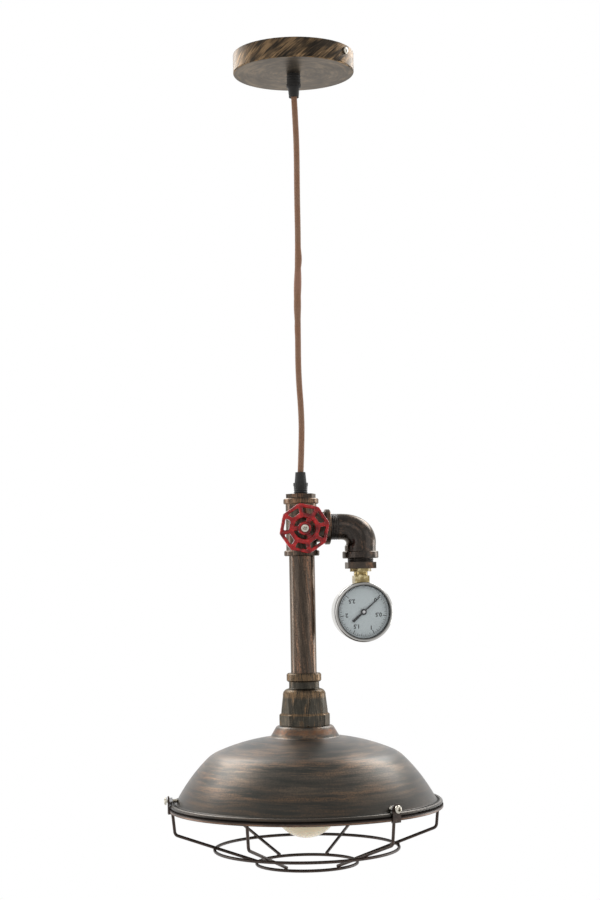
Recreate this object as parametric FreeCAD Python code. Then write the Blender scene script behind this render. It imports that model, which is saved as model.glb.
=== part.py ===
"""Pipe-fitting pendant lamp: ceiling cup, cord, tee with handwheel, elbow with gauge, shade, wire guard.

Millimetres. The origin is on the ceiling at the middle of the cup, +Z is up, and the lamp hangs below it
on the Z axis. The elbow and gauge point along +X, and the handwheel faces -Y.
"""
import FreeCAD, Part
import math
import os

V = FreeCAD.Vector
ORIGIN = V(0, 0, 0)
AXIS_X = V(1, 0, 0)
AXIS_Y = V(0, 1, 0)
AXIS_Z = V(0, 0, 1)

# Clearances
turning_clearance = 0.05
thread_clearance = 0.05
loose_clearance = 0.3
seat_clearance = 0.1

# Ceiling cup and its bracket
canopy_radius = 64.5
canopy_height = 21.0
canopy_wall = 1.0
canopy_edge_round = 1.6
bracket_angle = -37.5
bracket_width = 20.0
bracket_thickness = 2.0
bracket_ear_drop = 11.0
bracket_hole_spacing = 65.0
bracket_hole_radius = 2.5
bracket_wire_hole_radius = 6.0
canopy_screw_drop = 6.5
canopy_screw_radius = 2.0
canopy_screw_head_radius = 3.7
canopy_screw_head_height = 2.4
canopy_screw_reach = 8.0
terminal_length = 25.0
terminal_width = 13.0
terminal_height = 9.0
terminal_offset = 19.0
terminal_poles = 3
terminal_hole_radius = 1.5
lead_radius = 1.0
lead_bend_radius = 3.0
lead_straight = 2.0

# Cord, with its route as sideways x, sideways y and drop below the upper pivot
cord_radius = 3.0
cord_route = [
    (0.0, 0.0, 0.0),
    (0.9, -0.1, 22.0),
    (2.0, -0.4, 58.0),
    (1.5, -0.7, 112.0),
    (1.8, 0.2, 164.0),
    (0.3, 0.8, 212.0),
    (0.0, 0.9, 262.0),
    (-0.3, 0.6, 302.0),
    (2.3, 0.2, 344.0),
    (1.8, -0.2, 376.0),
    (0.0, 0.0, 409.2),
]

# Cable glands, one at each end of the cord
gland_mouth_depth = 4.0
gland_mouth_wall = 0.8
gland_tip_radius = 5.3
gland_cap_length = 11.3
gland_cap_radius = 6.3
gland_ring_height = 3.2
gland_ring_radius = 7.6
gland_ring_sides = 16
gland_collar_radius = 7.3
gland_thread_radius = 6.0
canopy_gland_collar = 14.0
canopy_gland_foot_radius = 7.1
canopy_gland_thread = 7.0
lamp_gland_collar = 11.6
lamp_gland_foot_radius = 6.6
lamp_gland_thread = 10.0
locknut_flats = 17.0
locknut_height = 4.0

# Pipe fittings
pipe_radius = 13.45
pipe_bore_radius = 10.8
pipe_visible_length = 121.9
thread_radius = 13.2
socket_depth = 14.0
bushing_flats = 28.0
bushing_hex_height = 4.2
bushing_neck = 0.8
bushing_thread_length = 12.0
bushing_turn = -110.0
tee_reach = 30.0
tee_body_radius = 16.2
tee_branch_radius = 15.9
tee_band_radius = 18.5
tee_band_height = 5.6
tee_flow_radius = 11.5
tee_edge_chamfer = 0.8

# Spindle and handwheel on the front of the tee
spindle_drop = 2.0
spindle_radius = 4.0
spindle_inner_y = -11.5
tee_boss_radius = 9.5
tee_boss_reach = 20.0
packing_nut_flats = 17.0
packing_nut_height = 5.5
packing_nut_turn = 15.0
wheel_gap = 1.0
wheel_hub_radius = 7.0
wheel_hub_height = 11.0
wheel_rim_setback = 3.6
wheel_corners = 8
wheel_corner_angle = 11.0
wheel_corner_radius = 26.6
wheel_corner_round = 3.4
wheel_rim_width = 3.4
wheel_thickness = 6.4
wheel_ring_outer_radius = 15.8
wheel_ring_inner_radius = 11.2
wheel_rim_spoke_width = 4.2
wheel_window_round = 0.9
wheel_edge_round = 1.3
wheel_hub_spokes = 3
wheel_hub_spoke_angle = 60.0
wheel_hub_spoke_width = 5.0
wheel_hub_spoke_thickness = 4.0
wheel_screw_head_radius = 4.2
wheel_screw_head_height = 2.4
wheel_screw_radius = 2.0
wheel_screw_length = 14.0

# Street elbow and the gauge's fittings
elbow_axis_x = 61.9
elbow_bend_radius = 20.5
elbow_bulge = 2.4
elbow_straight = 3.0
elbow_radius = 13.6
elbow_cup_radius = 16.4
elbow_flow_radius = 9.5
elbow_drop = 33.5
elbow_band_radius = 19.0
elbow_band_height = 7.4
elbow_sections = 6
gauge_bushing_flats = 30.0
gauge_bushing_hex_height = 6.7
gauge_bushing_neck = 4.0
gauge_bushing_thread_length = 11.0
gauge_bushing_turn = -85.0
stem_thread_radius = 6.5
stem_thread_length = 11.0
stem_hex_flats = 20.0
stem_hex_height = 3.2
stem_neck_radius = 7.0
stem_neck_height = 4.2
stem_block_width = 15.6
stem_block_depth = 12.8
stem_block_length = 20.0
stem_block_shown = 8.0

# Pressure gauge, hung upside down from its stem
gauge_yaw = 6.5
gauge_case_radius = 30.0
gauge_case_front = 8.0
gauge_case_back = 14.0
gauge_case_wall = 1.0
gauge_case_round = 4.0
gauge_bezel_radius = 31.5
gauge_bezel_opening = 27.3
gauge_bezel_front = 13.0
gauge_bezel_lip = 1.25
gauge_bezel_round = 2.4
gauge_window_thickness = 1.0
gauge_window_seat = 1.3
gauge_dial_thickness = 0.6
gauge_plate_thickness = 1.0
gauge_plate_width = 14.0
gauge_plate_half_length = 8.0
gauge_plate_spacing = 9.0
gauge_pillar_radius = 1.5
pointer_rest_angle = 49.5
pointer_length = 23.5
pointer_tail = 15.2
pointer_height = 1.2
pointer_thickness = 0.5
pointer_hub_radius = 3.2
pointer_hub_height = 1.1
pointer_spindle_radius = 1.0
pointer_tip_width = 0.8
pointer_root_width = 1.6
pointer_tail_width = 3.0
bourdon_radius = 20.5
bourdon_thickness = 2.2
bourdon_width = 8.0
bourdon_start_angle = 76.0
bourdon_sweep = 245.0

# Reducing socket between the pipe and the shade
reducer_height = 54.0
reducer_band_radius = 18.1
reducer_band_height = 8.8
reducer_band_chamfer = 1.3
reducer_neck_radius = 15.7
reducer_neck_height = 7.4
reducer_cove = 1.6
reducer_shoulder_height = 6.8
reducer_shoulder_radius = 22.3
reducer_skirt_radius = 24.6
reducer_sides = 8
reducer_turn = 2.5
reducer_skirt_flats_top = 42.8
reducer_skirt_flats_bottom = 46.2
reducer_foot_flats = 49.0
reducer_foot_height = 12.1
reducer_foot_chamfer = 1.0
reducer_throat_radius = 10.5
reducer_holder_bore = 21.0
reducer_holder_bore_depth = 28.5

# Lampholder and bulb
bridge_thickness = 2.5
nipple_radius = 5.0
nipple_bore_radius = 3.4
nipple_above_bridge = 6.0
nipple_in_holder = 5.0
nipple_nut_flats = 14.0
nipple_nut_height = 3.5
holder_radius = 19.3
holder_flange_radius = 20.7
holder_flange_thickness = 2.0
holder_below_shade = 42.0
holder_edge_round = 3.0
holder_ring_height = 7.5
holder_ring_lip_radius = 22.5
holder_mouth_radius = 17.6
holder_mouth_depth = 10.5
socket_depth_in_holder = 36.0
socket_outer_radius = 15.2
socket_wall = 1.0
contact_radius = 4.5
contact_height = 2.0
cable_end_above_contact = 4.0
bulb_radius = 35.0
bulb_wall = 0.9
bulb_bottom_below_rim = 34.4
bulb_cap_height = 24.0
bulb_cap_wall = 0.7
bulb_cap_tip_radius = 5.0
bulb_cap_tip_height = 3.0
bulb_neck_radius = 16.0
bulb_neck_below_cap = 7.0

# Shade: one pressed sheet, drawn outwards from its hole as tangent lines and arcs
shade_wall = 1.0
shade_collar_flat_radius = 26.9
shade_collar_round = 4.0
shade_collar_slope = 59.0
shade_collar_side = 10.095
shade_collar_fillet = 2.6
shade_crown_start_slope = 6.8
shade_crown_radius = 197.26
shade_crown_turn = 16.7
shade_shoulder_radius = 33.3
shade_shoulder_turn = 20.9
shade_skirt_radius = 174.0
shade_skirt_turn = 17.8
shade_lip_radius = 2.6
shade_lip_turn = 50.0
shade_lip_length = 1.6
shade_bead_radius = 2.1

# Wire guard, its clamps and their screws
guard_wire_radius = 1.6
guard_ring_overhang = 0.54
guard_ring_thickness = 1.6
guard_ring_height = 3.6
guard_leg_angles = [-57.5, 0.0, 60.0, 120.0, 180.0, 240.0]
guard_leg_weld = 0.2
guard_leg_drop = 27.5
guard_leg_lean = 2.9
guard_leg_bend_radius = 5.0
guard_leg_past_ring = 2.2
guard_floor_drop = 30.0
guard_middle_ring_radius = 95.5
guard_bottom_ring_radius = 52.2
clamp_count = 3
clamp_first_angle = -57.5
clamp_width = 10.0
clamp_thickness = 1.5
clamp_screw_radius = 2.0
clamp_screw_head_radius = 4.0
clamp_screw_head_height = 2.6
clamp_screw_stand_off = 1.4
clamp_screw_tip_radius = 0.9
clamp_screw_taper = 2.0
clamp_nut_flats = 7.0
clamp_nut_height = 3.2
clamp_nut_turn = 30.0


# Shapes that every sub-part uses

def rod(radius, low, high, x=0.0, y=0.0):
    """Upright cylinder between two heights."""
    return Part.makeCylinder(radius, high - low, V(x, y, low))


def rod_along_x(radius, start, end, y=0.0, z=0.0):
    """Cylinder along X between two x values."""
    return Part.makeCylinder(radius, end - start, V(start, y, z), AXIS_X)


def rod_to_front(radius, near, reach, z=0.0):
    """Cylinder along -Y from distance near to distance reach in front of the axis."""
    return Part.makeCylinder(radius, reach - near, V(0, -near, z), -AXIS_Y)


def block(low, high):
    """Box between two opposite corners."""
    size = V(*high) - V(*low)
    return Part.makeBox(size.x, size.y, size.z, V(*low))


def corner_points(corner_radius, sides, turn, z):
    """Corners of a regular polygon about the Z axis, the first at angle turn."""
    points = []
    for index in range(sides):
        angle = math.radians(turn + 360.0 * index / sides)
        points.append(V(corner_radius * math.cos(angle), corner_radius * math.sin(angle), z))
    return points


def polygon_wire(corner_radius, sides, turn, z):
    """Closed regular polygon about the Z axis."""
    points = corner_points(corner_radius, sides, turn, z)
    return Part.makePolygon(points + [points[0]])


def prism(flats, sides, low, high, turn=0.0):
    """Regular prism about the Z axis, measured across its flats."""
    corner_radius = flats / 2.0 / math.cos(math.pi / sides)
    face = Part.Face(polygon_wire(corner_radius, sides, turn, low))
    return face.extrude(V(0, 0, high - low))


def turned(*steps):
    """Solid of revolution about Z from a closed outline of (radius, height) points.

    A step that holds two points is an arc through the first to the second.
    """
    edges = []
    here = steps[0]
    for step in list(steps[1:]) + [steps[0]]:
        start = V(here[0], 0, here[1])
        if isinstance(step[0], tuple):
            middle, end = step
            edges.append(Part.Arc(start, V(middle[0], 0, middle[1]), V(end[0], 0, end[1])).toShape())
            here = end
        else:
            edges.append(Part.LineSegment(start, V(step[0], 0, step[1])).toShape())
            here = step
    return Part.Face(Part.Wire(edges)).revolve(ORIGIN, AXIS_Z, 360)


def tapered_band(radius, low, high, chamfer):
    """Raised band of a cast fitting, with both outer edges broken."""
    return turned((0, low), (radius - chamfer, low), (radius, low + chamfer),
                  (radius, high - chamfer), (radius - chamfer, high), (0, high))


def round_rim(shape, round_radius, rim_radius, height):
    """Round the circular edges of one radius at one height."""
    edges = []
    for edge in shape.Edges:
        curve = edge.Curve
        if isinstance(curve, Part.Circle):
            if abs(curve.Radius - rim_radius) < 0.01 and abs(curve.Center.z - height) < 0.01:
                edges.append(edge)
    return shape.makeFillet(round_radius, edges)


def rounded_path(points, largest_radius=None, name=""):
    """Wire of straight runs joined by tangent arcs, each as large as its two runs allow.

    A point in line with its neighbours gets no arc.
    """
    edges = []
    start = points[0]
    radii = []
    for before, corner, after in zip(points, points[1:], points[2:]):
        arriving = (corner - before).normalize()
        leaving = (after - corner).normalize()
        half_turn = arriving.getAngle(leaving) / 2.0
        if half_turn < 1e-6:
            continue
        shorter = min((corner - before).Length, (after - corner).Length)
        radius = 0.45 * shorter / math.tan(half_turn)
        if largest_radius:
            radius = min(radius, largest_radius)
        setback = radius * math.tan(half_turn)
        arc_start = corner - arriving * setback
        arc_end = corner + leaving * setback
        inward = (leaving - arriving).normalize()
        arc_middle = corner + inward * (radius / math.cos(half_turn) - radius)
        edges.append(Part.LineSegment(start, arc_start).toShape())
        edges.append(Part.Arc(arc_start, arc_middle, arc_end).toShape())
        radii.append(radius)
        start = arc_end
    edges.append(Part.LineSegment(start, points[-1]).toShape())
    if name:
        print(name, "bend radii", [round(radius) for radius in radii])
    return Part.Wire(edges)


def wire_solid(path, radius):
    """Round wire along a path."""
    first = path.OrderedEdges[0]
    start = first.valueAt(first.FirstParameter)
    direction = first.tangentAt(first.FirstParameter)
    section = Part.Wire(Part.makeCircle(radius, start, direction))
    return path.makePipeShell([section], True, False)


def turned_about_z(shape, angle):
    """Copy of a shape turned about the Z axis."""
    copy = shape.copy()
    copy.rotate(ORIGIN, AXIS_Z, angle)
    return copy


def ring_of(shape, count, first_angle=0.0):
    """Copies of a shape evenly spaced about the Z axis."""
    return [turned_about_z(shape, first_angle + 360.0 * index / count) for index in range(count)]


def facing_front(shape, x, y, z):
    """Shape made with its front towards +Z, turned to face -Y and set in place."""
    copy = shape.copy()
    copy.rotate(ORIGIN, AXIS_X, 90)
    copy.translate(V(x, y, z))
    return copy


def fused(shapes):
    """One solid from several."""
    return shapes[0].multiFuse(shapes[1:]).removeSplitter()


# Heights, from the ceiling down

canopy_bottom_z = -canopy_height
canopy_mouth_z = canopy_bottom_z - canopy_gland_collar - gland_cap_length
upper_pivot_z = canopy_mouth_z + gland_mouth_depth
lower_pivot_z = upper_pivot_z - cord_route[-1][2]
lamp_mouth_z = lower_pivot_z + gland_mouth_depth
bushing_top_z = lamp_mouth_z - gland_cap_length - lamp_gland_collar
tee_top_z = bushing_top_z - bushing_hex_height - bushing_neck
tee_z = tee_top_z - tee_reach
tee_bottom_z = tee_z - tee_reach
reducer_top_z = tee_bottom_z - pipe_visible_length
reducer_bottom_z = reducer_top_z - reducer_height
bridge_top_z = reducer_bottom_z + reducer_holder_bore_depth
holder_top_z = bridge_top_z - bridge_thickness - nipple_nut_height
holder_bottom_z = reducer_bottom_z - shade_wall - holder_below_shade
socket_top_z = holder_bottom_z + socket_depth_in_holder
spindle_z = tee_z - spindle_drop
elbow_end_z = tee_z - elbow_drop
gauge_hex_top_z = elbow_end_z - gauge_bushing_neck
gauge_hex_bottom_z = gauge_hex_top_z - gauge_bushing_hex_height
stem_hex_bottom_z = gauge_hex_bottom_z - stem_hex_height
stem_block_top_z = stem_hex_bottom_z - stem_neck_height
gauge_z = stem_block_top_z - stem_block_shown - gauge_case_radius

gland_bore_radius = cord_radius + loose_clearance
gland_mouth_radius = gland_tip_radius - gland_mouth_wall
thread_seat_radius = thread_radius + thread_clearance
pipe_seat_radius = pipe_radius + thread_clearance
guard_leg_end_radius = guard_bottom_ring_radius - guard_leg_past_ring


# Ceiling cup

def ceiling_bracket():
    """Steel strip on the ceiling, with an ear folded down at each end for the cup's screws."""
    half_width = bracket_width / 2.0
    inside = canopy_radius - canopy_wall
    ear_face = math.sqrt(inside ** 2 - half_width ** 2) - 2.0 * seat_clearance
    strip = block((-ear_face, -half_width, -bracket_thickness), (ear_face, half_width, 0))
    ears = []
    for side in (-1, 1):
        low, high = sorted((side * ear_face, side * (ear_face - bracket_thickness)))
        ears.append(block((low, -half_width, -bracket_ear_drop), (high, half_width, -bracket_thickness)))
    bracket = fused([strip] + ears)
    holes = [rod(bracket_wire_hole_radius, -bracket_thickness, 0)]
    for side in (-1, 1):
        holes.append(rod(bracket_hole_radius, -bracket_thickness, 0, side * bracket_hole_spacing / 2.0))
    screw_hole = canopy_screw_radius + thread_clearance
    holes.append(rod_along_x(screw_hole, -ear_face, ear_face, 0, -canopy_screw_drop))
    return turned_about_z(bracket.cut(Part.makeCompound(holes)), bracket_angle)


def canopy_cover():
    """Shallow cup against the ceiling, open at the top."""
    cup = rod(canopy_radius, canopy_bottom_z, 0)
    cup = round_rim(cup, canopy_edge_round, canopy_radius, canopy_bottom_z)
    cup = cup.cut(rod(canopy_radius - canopy_wall, canopy_bottom_z + canopy_wall, 1))
    cup = cup.cut(rod(gland_thread_radius + thread_clearance, canopy_bottom_z - 1, 0))
    hole = rod_along_x(canopy_screw_radius + seat_clearance, -canopy_radius - 1, canopy_radius + 1,
                       0, -canopy_screw_drop)
    return cup.cut(turned_about_z(hole, bracket_angle))


def canopy_screws():
    """Two pan-head screws through the cup's side into the bracket's ears."""
    shank = rod(canopy_screw_radius, -canopy_screw_reach, 0)
    head = rod(canopy_screw_head_radius, 0, canopy_screw_head_height)
    head = round_rim(head, canopy_screw_head_height * 0.6, canopy_screw_head_radius, canopy_screw_head_height)
    screw = fused([shank, head])
    screw.rotate(ORIGIN, AXIS_Y, 90)
    screw.translate(V(canopy_radius, 0, -canopy_screw_drop))
    return Part.makeCompound(ring_of(screw, 2, bracket_angle))


def terminal_block():
    """Connector strip under the bracket, one hole through it for each lead."""
    half = terminal_width / 2.0
    low = (-terminal_offset - half, -terminal_length / 2.0, -bracket_thickness - terminal_height)
    high = (-terminal_offset + half, terminal_length / 2.0, -bracket_thickness)
    body = block(low, high)
    holes = []
    for y in terminal_rows():
        holes.append(rod_along_x(terminal_hole_radius, low[0], high[0], y, terminal_z()))
    return turned_about_z(body.cut(Part.makeCompound(holes)), bracket_angle)


def terminal_rows():
    """Sideways place of each pole of the terminal block."""
    pitch = terminal_length / terminal_poles
    return [pitch * (index - (terminal_poles - 1) / 2.0) for index in range(terminal_poles)]


def terminal_z():
    """Height of the terminal block's wire holes."""
    return -bracket_thickness - terminal_height * 0.6


def canopy_leads():
    """Stripped cores from the cord's end to the terminal block."""
    leads = []
    cord_top = canopy_bottom_z + canopy_wall + canopy_gland_thread
    for index, y in enumerate(terminal_rows()):
        angle = -math.pi * (2.0 * index + 1.0) / terminal_poles
        reach = cord_radius - lead_radius
        start = V(reach * math.cos(angle), reach * math.sin(angle), cord_top)
        corner = V(start.x, start.y, terminal_z())
        mouth = V(lead_straight - terminal_offset + terminal_width / 2.0, y, terminal_z())
        end = V(-terminal_offset, y, terminal_z())
        leads.append(wire_solid(rounded_path([start, corner, mouth, end], lead_bend_radius), lead_radius))
    return turned_about_z(Part.makeCompound(leads), bracket_angle)


# Glands and cord

def gland_cap():
    """Tapered clamping nut of a gland, its mouth at z = 0 and facing -Z."""
    cone = turned((0, 0), (gland_tip_radius, 0), (gland_cap_radius, gland_cap_length),
                  (0, gland_cap_length))
    bore = rod(gland_bore_radius, 0, gland_cap_length)
    mouth = turned((0, 0), (gland_mouth_radius, 0),
                   (gland_bore_radius, gland_mouth_depth), (0, gland_mouth_depth))
    return cone.cut(bore).cut(mouth)


def gland_body(collar, foot_radius, thread):
    """Grip ring, tapering collar and thread of a gland, behind the clamping nut."""
    ring_end = gland_cap_length + gland_ring_height
    collar_end = gland_cap_length + collar
    ring = prism(2.0 * gland_ring_radius, gland_ring_sides, gland_cap_length, ring_end)
    body = turned((0, ring_end), (gland_collar_radius, ring_end), (foot_radius, collar_end),
                  (gland_thread_radius, collar_end), (gland_thread_radius, collar_end + thread),
                  (0, collar_end + thread))
    return fused([ring, body]).cut(rod(gland_bore_radius, gland_cap_length, collar_end + thread))


def at_canopy(shape):
    """Gland part set in the cup, mouth down."""
    shape.translate(V(0, 0, canopy_mouth_z))
    return shape


def at_lamp(shape):
    """Gland part set on the tee, mouth up."""
    shape.rotate(ORIGIN, AXIS_X, 180)
    shape.translate(V(0, 0, lamp_mouth_z))
    return shape


def canopy_gland_locknut():
    """Hexagon nut that holds the gland from inside the cup."""
    low = canopy_bottom_z + canopy_wall
    nut = prism(locknut_flats, 6, low, low + locknut_height, bracket_angle)
    return nut.cut(rod(gland_thread_radius + thread_clearance, low, low + locknut_height))


def canopy_cord_tail():
    """End of the cord that the cup's gland grips, up to the stripped cores."""
    low = upper_pivot_z + cord_radius + loose_clearance
    return rod(cord_radius, low, canopy_bottom_z + canopy_wall + canopy_gland_thread)


def hanging_cord():
    """Free cord between the two glands, with a rounded end in each mouth."""
    points = [V(x, y, upper_pivot_z - drop) for x, y, drop in cord_route]
    path = rounded_path(points, None, "hanging cord")
    tube = wire_solid(path, cord_radius)
    expected = path.Length * math.pi * cord_radius ** 2
    print("hanging cord length", round(path.Length, 1), "volume", round(tube.Volume), "of", round(expected))
    ends = [Part.makeSphere(cord_radius, point) for point in (points[0], points[-1])]
    return tube.multiFuse(ends)


def lamp_cable():
    """Cord inside the gland, tee and pipe, down to the lampholder."""
    high = lower_pivot_z - cord_radius - loose_clearance
    return rod(cord_radius, socket_top_z + cable_end_above_contact, high)


# Tee, bushing and pipe

def top_bushing():
    """Hexagon bushing in the top of the tee, bored for the gland."""
    hexagon = prism(bushing_flats, 6, bushing_top_z - bushing_hex_height, bushing_top_z, bushing_turn)
    thread = rod(thread_radius, tee_top_z - bushing_thread_length, bushing_top_z - bushing_hex_height)
    bore = rod(gland_thread_radius + turning_clearance, tee_top_z - bushing_thread_length, bushing_top_z)
    return fused([hexagon, thread]).cut(bore)


def pipe_tee():
    """Cast tee with a banded socket up, down and to the side, and a drilled boss in front."""
    chamfer = tee_edge_chamfer
    run = rod(tee_body_radius, tee_bottom_z, tee_top_z)
    top_band = tapered_band(tee_band_radius, tee_top_z - tee_band_height, tee_top_z, chamfer)
    bottom_band = tapered_band(tee_band_radius, tee_bottom_z, tee_bottom_z + tee_band_height, chamfer)
    branch = rod(tee_branch_radius, 0, tee_reach)
    side_band = tapered_band(tee_band_radius, tee_reach - tee_band_height, tee_reach, chamfer)
    side = fused([branch, side_band])
    side.rotate(ORIGIN, AXIS_Y, 90)
    side.translate(V(0, 0, tee_z))
    boss = rod_to_front(tee_boss_radius, 0, tee_boss_reach, spindle_z)
    tee = fused([run, top_band, bottom_band, side, boss])
    bores = [
        rod(tee_flow_radius, tee_bottom_z, tee_top_z),
        rod(thread_seat_radius, tee_top_z - socket_depth, tee_top_z),
        rod(pipe_seat_radius, tee_bottom_z, tee_bottom_z + socket_depth),
        rod_along_x(tee_flow_radius, 0, tee_reach, 0, tee_z),
        rod_along_x(thread_seat_radius, tee_reach - socket_depth, tee_reach, 0, tee_z),
        rod_to_front(spindle_radius + turning_clearance, 0, tee_boss_reach, spindle_z),
    ]
    return tee.cut(fused(bores))


def drop_pipe():
    """Steel pipe from the tee down to the reducing socket."""
    low = reducer_top_z - socket_depth + seat_clearance
    high = tee_bottom_z + socket_depth - seat_clearance
    return rod(pipe_radius, low, high).cut(rod(pipe_bore_radius, low, high))


# Spindle and handwheel, made facing +Z and turned to the front

def wheel_back():
    """Distance in front of the axis at which the wheel's hub starts."""
    return tee_boss_reach + packing_nut_height + wheel_gap


def packing_nut():
    """Hexagon nut around the spindle, on the tee's boss."""
    front = tee_boss_reach + packing_nut_height
    nut = prism(packing_nut_flats, 6, tee_boss_reach, front, packing_nut_turn)
    nut = nut.cut(rod(spindle_radius + turning_clearance, tee_boss_reach, front))
    return facing_front(nut, 0, 0, spindle_z)


def wheel_spindle():
    """Valve spindle from inside the tee to the wheel's hub, drilled for the wheel's screw."""
    high = wheel_back() + wheel_hub_height
    spindle = rod(spindle_radius, -spindle_inner_y, high)
    screw_hole = rod(wheel_screw_radius + thread_clearance, high - wheel_screw_length, high)
    return facing_front(spindle.cut(screw_hole), 0, 0, spindle_z)


def wheel_rim_blank(low, high):
    """Eight-cornered plate with rounded corners, the wheel's outer outline."""
    plate = prism(2.0 * wheel_corner_radius * math.cos(math.pi / wheel_corners), wheel_corners,
                  low, high, wheel_corner_angle)
    upright = [edge for edge in plate.Edges if abs(edge.tangentAt(edge.FirstParameter).z) > 0.9]
    return plate.makeFillet(wheel_corner_round, upright)


def wheel_rim_windows(low, high):
    """Openings between the rim and the inner ring, one between each pair of corners."""
    reach = wheel_corner_radius * math.cos(math.pi / wheel_corners) - wheel_rim_width
    half_pitch = math.pi / wheel_corners
    half_spoke = wheel_rim_spoke_width / 2.0
    outer_half = reach * math.tan(half_pitch) - half_spoke / math.cos(half_pitch)
    inner = wheel_ring_outer_radius
    inner_half = inner * math.tan(half_pitch) - half_spoke / math.cos(half_pitch)
    points = [V(inner, -inner_half, low), V(reach, -outer_half, low), V(reach, outer_half, low),
              V(inner, inner_half, low)]
    window = Part.Face(Part.makePolygon(points + [points[0]])).extrude(V(0, 0, high - low))
    upright = [edge for edge in window.Edges if abs(edge.tangentAt(edge.FirstParameter).z) > 0.9]
    window = window.makeFillet(wheel_window_round, upright)
    return ring_of(window, wheel_corners, wheel_corner_angle + 180.0 / wheel_corners)


def handwheel():
    """Cast wheel: rim with eight corners, inner ring, hub and the spokes between them."""
    back = wheel_back()
    hub_front = back + wheel_hub_height
    rim_high = hub_front - wheel_rim_setback + wheel_thickness / 2.0
    rim_low = rim_high - wheel_thickness
    web = wheel_rim_blank(rim_low, rim_high)
    web = web.cut(Part.makeCompound(wheel_rim_windows(rim_low, rim_high)))
    web = web.cut(rod(wheel_ring_inner_radius, rim_low, rim_high))
    web = web.makeFillet(wheel_edge_round, wheel_face_edges(web, rim_low, rim_high))
    middle = (rim_low + rim_high) / 2.0
    hub = rod(wheel_hub_radius, back, hub_front)
    hub = round_rim(hub, wheel_edge_round, wheel_hub_radius, hub_front)
    half = wheel_hub_spoke_width / 2.0
    reach = (wheel_ring_inner_radius + wheel_ring_outer_radius) / 2.0
    arm = block((0, -half, middle - wheel_hub_spoke_thickness / 2.0),
                (reach, half, middle + wheel_hub_spoke_thickness / 2.0))
    long_edges = [edge for edge in arm.Edges if abs(edge.tangentAt(edge.FirstParameter).x) > 0.9]
    arm = arm.makeFillet(wheel_edge_round, long_edges)
    wheel = fused([web, hub] + ring_of(arm, wheel_hub_spokes, wheel_hub_spoke_angle))
    wheel = wheel.cut(rod(spindle_radius + thread_clearance, back, hub_front))
    return facing_front(wheel, 0, 0, spindle_z)


def wheel_face_edges(web, low, high):
    """Edges of the wheel's front and back faces."""
    edges = []
    for edge in web.Edges:
        heights = [vertex.Point.z for vertex in edge.Vertexes]
        for level in (low, high):
            if all(abs(height - level) < 0.01 for height in heights):
                edges.append(edge)
    return edges


def wheel_screw():
    """Pan-head screw that holds the wheel on its spindle."""
    seat = wheel_back() + wheel_hub_height
    head = rod(wheel_screw_head_radius, seat, seat + wheel_screw_head_height)
    head = round_rim(head, wheel_screw_head_height * 0.7, wheel_screw_head_radius,
                     seat + wheel_screw_head_height)
    shank = rod(wheel_screw_radius, seat - wheel_screw_length + seat_clearance, seat)
    return facing_front(fused([shank, head]), 0, 0, spindle_z)


# Elbow and gauge

def street_elbow():
    """Elbow with a threaded end in the tee and a widening, banded socket facing down."""
    centre_x = elbow_axis_x - elbow_bend_radius
    centre_z = tee_z - elbow_bend_radius
    sections = []
    for step in range(elbow_sections + 1):
        angle = math.radians(90.0 * step / elbow_sections)
        radius = elbow_radius + (elbow_cup_radius - elbow_radius) * math.sin(angle) ** 2
        reach = elbow_bend_radius + elbow_bulge * math.sin(2.0 * angle) * math.sin(angle)
        point = V(centre_x + reach * math.sin(angle), 0, centre_z + reach * math.cos(angle))
        along = V(math.cos(angle), 0, -math.sin(angle))
        sections.append(Part.Wire(Part.makeCircle(radius, point, along)))
    bend = Part.makeLoft(sections, True, False)
    inner_x = tee_reach - socket_depth + seat_clearance
    shank = rod_along_x(thread_radius, inner_x, centre_x, 0, tee_z)
    straight = rod_along_x(elbow_radius, centre_x - elbow_straight, centre_x, 0, tee_z)
    cup = rod(elbow_cup_radius, elbow_end_z, centre_z, elbow_axis_x)
    band = tapered_band(elbow_band_radius, elbow_end_z, elbow_end_z + elbow_band_height, tee_edge_chamfer)
    band.translate(V(elbow_axis_x, 0, 0))
    elbow = fused([bend, shank, straight, cup, band])
    flow = Part.Face(Part.Wire(Part.makeCircle(elbow_flow_radius, V(centre_x, 0, tee_z), AXIS_X)))
    flow = flow.revolve(V(centre_x, 0, centre_z), AXIS_Y, 90)
    elbow = elbow.cut(flow)
    elbow = elbow.cut(rod_along_x(elbow_flow_radius, inner_x, centre_x, 0, tee_z))
    return elbow.cut(rod(thread_seat_radius, elbow_end_z, elbow_end_z + socket_depth, elbow_axis_x))


def gauge_bushing():
    """Hexagon reducing bushing under the elbow, bored for the gauge's stem."""
    hexagon = prism(gauge_bushing_flats, 6, gauge_hex_bottom_z, gauge_hex_top_z, gauge_bushing_turn)
    high = elbow_end_z + gauge_bushing_thread_length
    bushing = fused([hexagon, rod(thread_radius, gauge_hex_top_z, high)])
    bushing = bushing.cut(rod(stem_thread_radius + thread_clearance, gauge_hex_bottom_z, high))
    bushing.translate(V(elbow_axis_x, 0, 0))
    return bushing


def gauge_socket():
    """Brass stem: thread, hexagon, neck and the square block that carries the movement."""
    thread = rod(stem_thread_radius, gauge_hex_bottom_z, gauge_hex_bottom_z + stem_thread_length)
    hexagon = prism(stem_hex_flats, 6, stem_hex_bottom_z, gauge_hex_bottom_z, gauge_yaw)
    neck = rod(stem_neck_radius, stem_block_top_z, stem_hex_bottom_z)
    half = stem_block_width / 2.0
    front = plate_front() - gauge_plate_thickness
    carrier = block((-half, -front, stem_block_top_z - stem_block_length),
                    (half, stem_block_depth - front, stem_block_top_z))
    socket = fused([thread, hexagon, neck, turned_about_z(carrier, gauge_yaw)])
    socket.translate(V(elbow_axis_x, 0, 0))
    return socket


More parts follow.
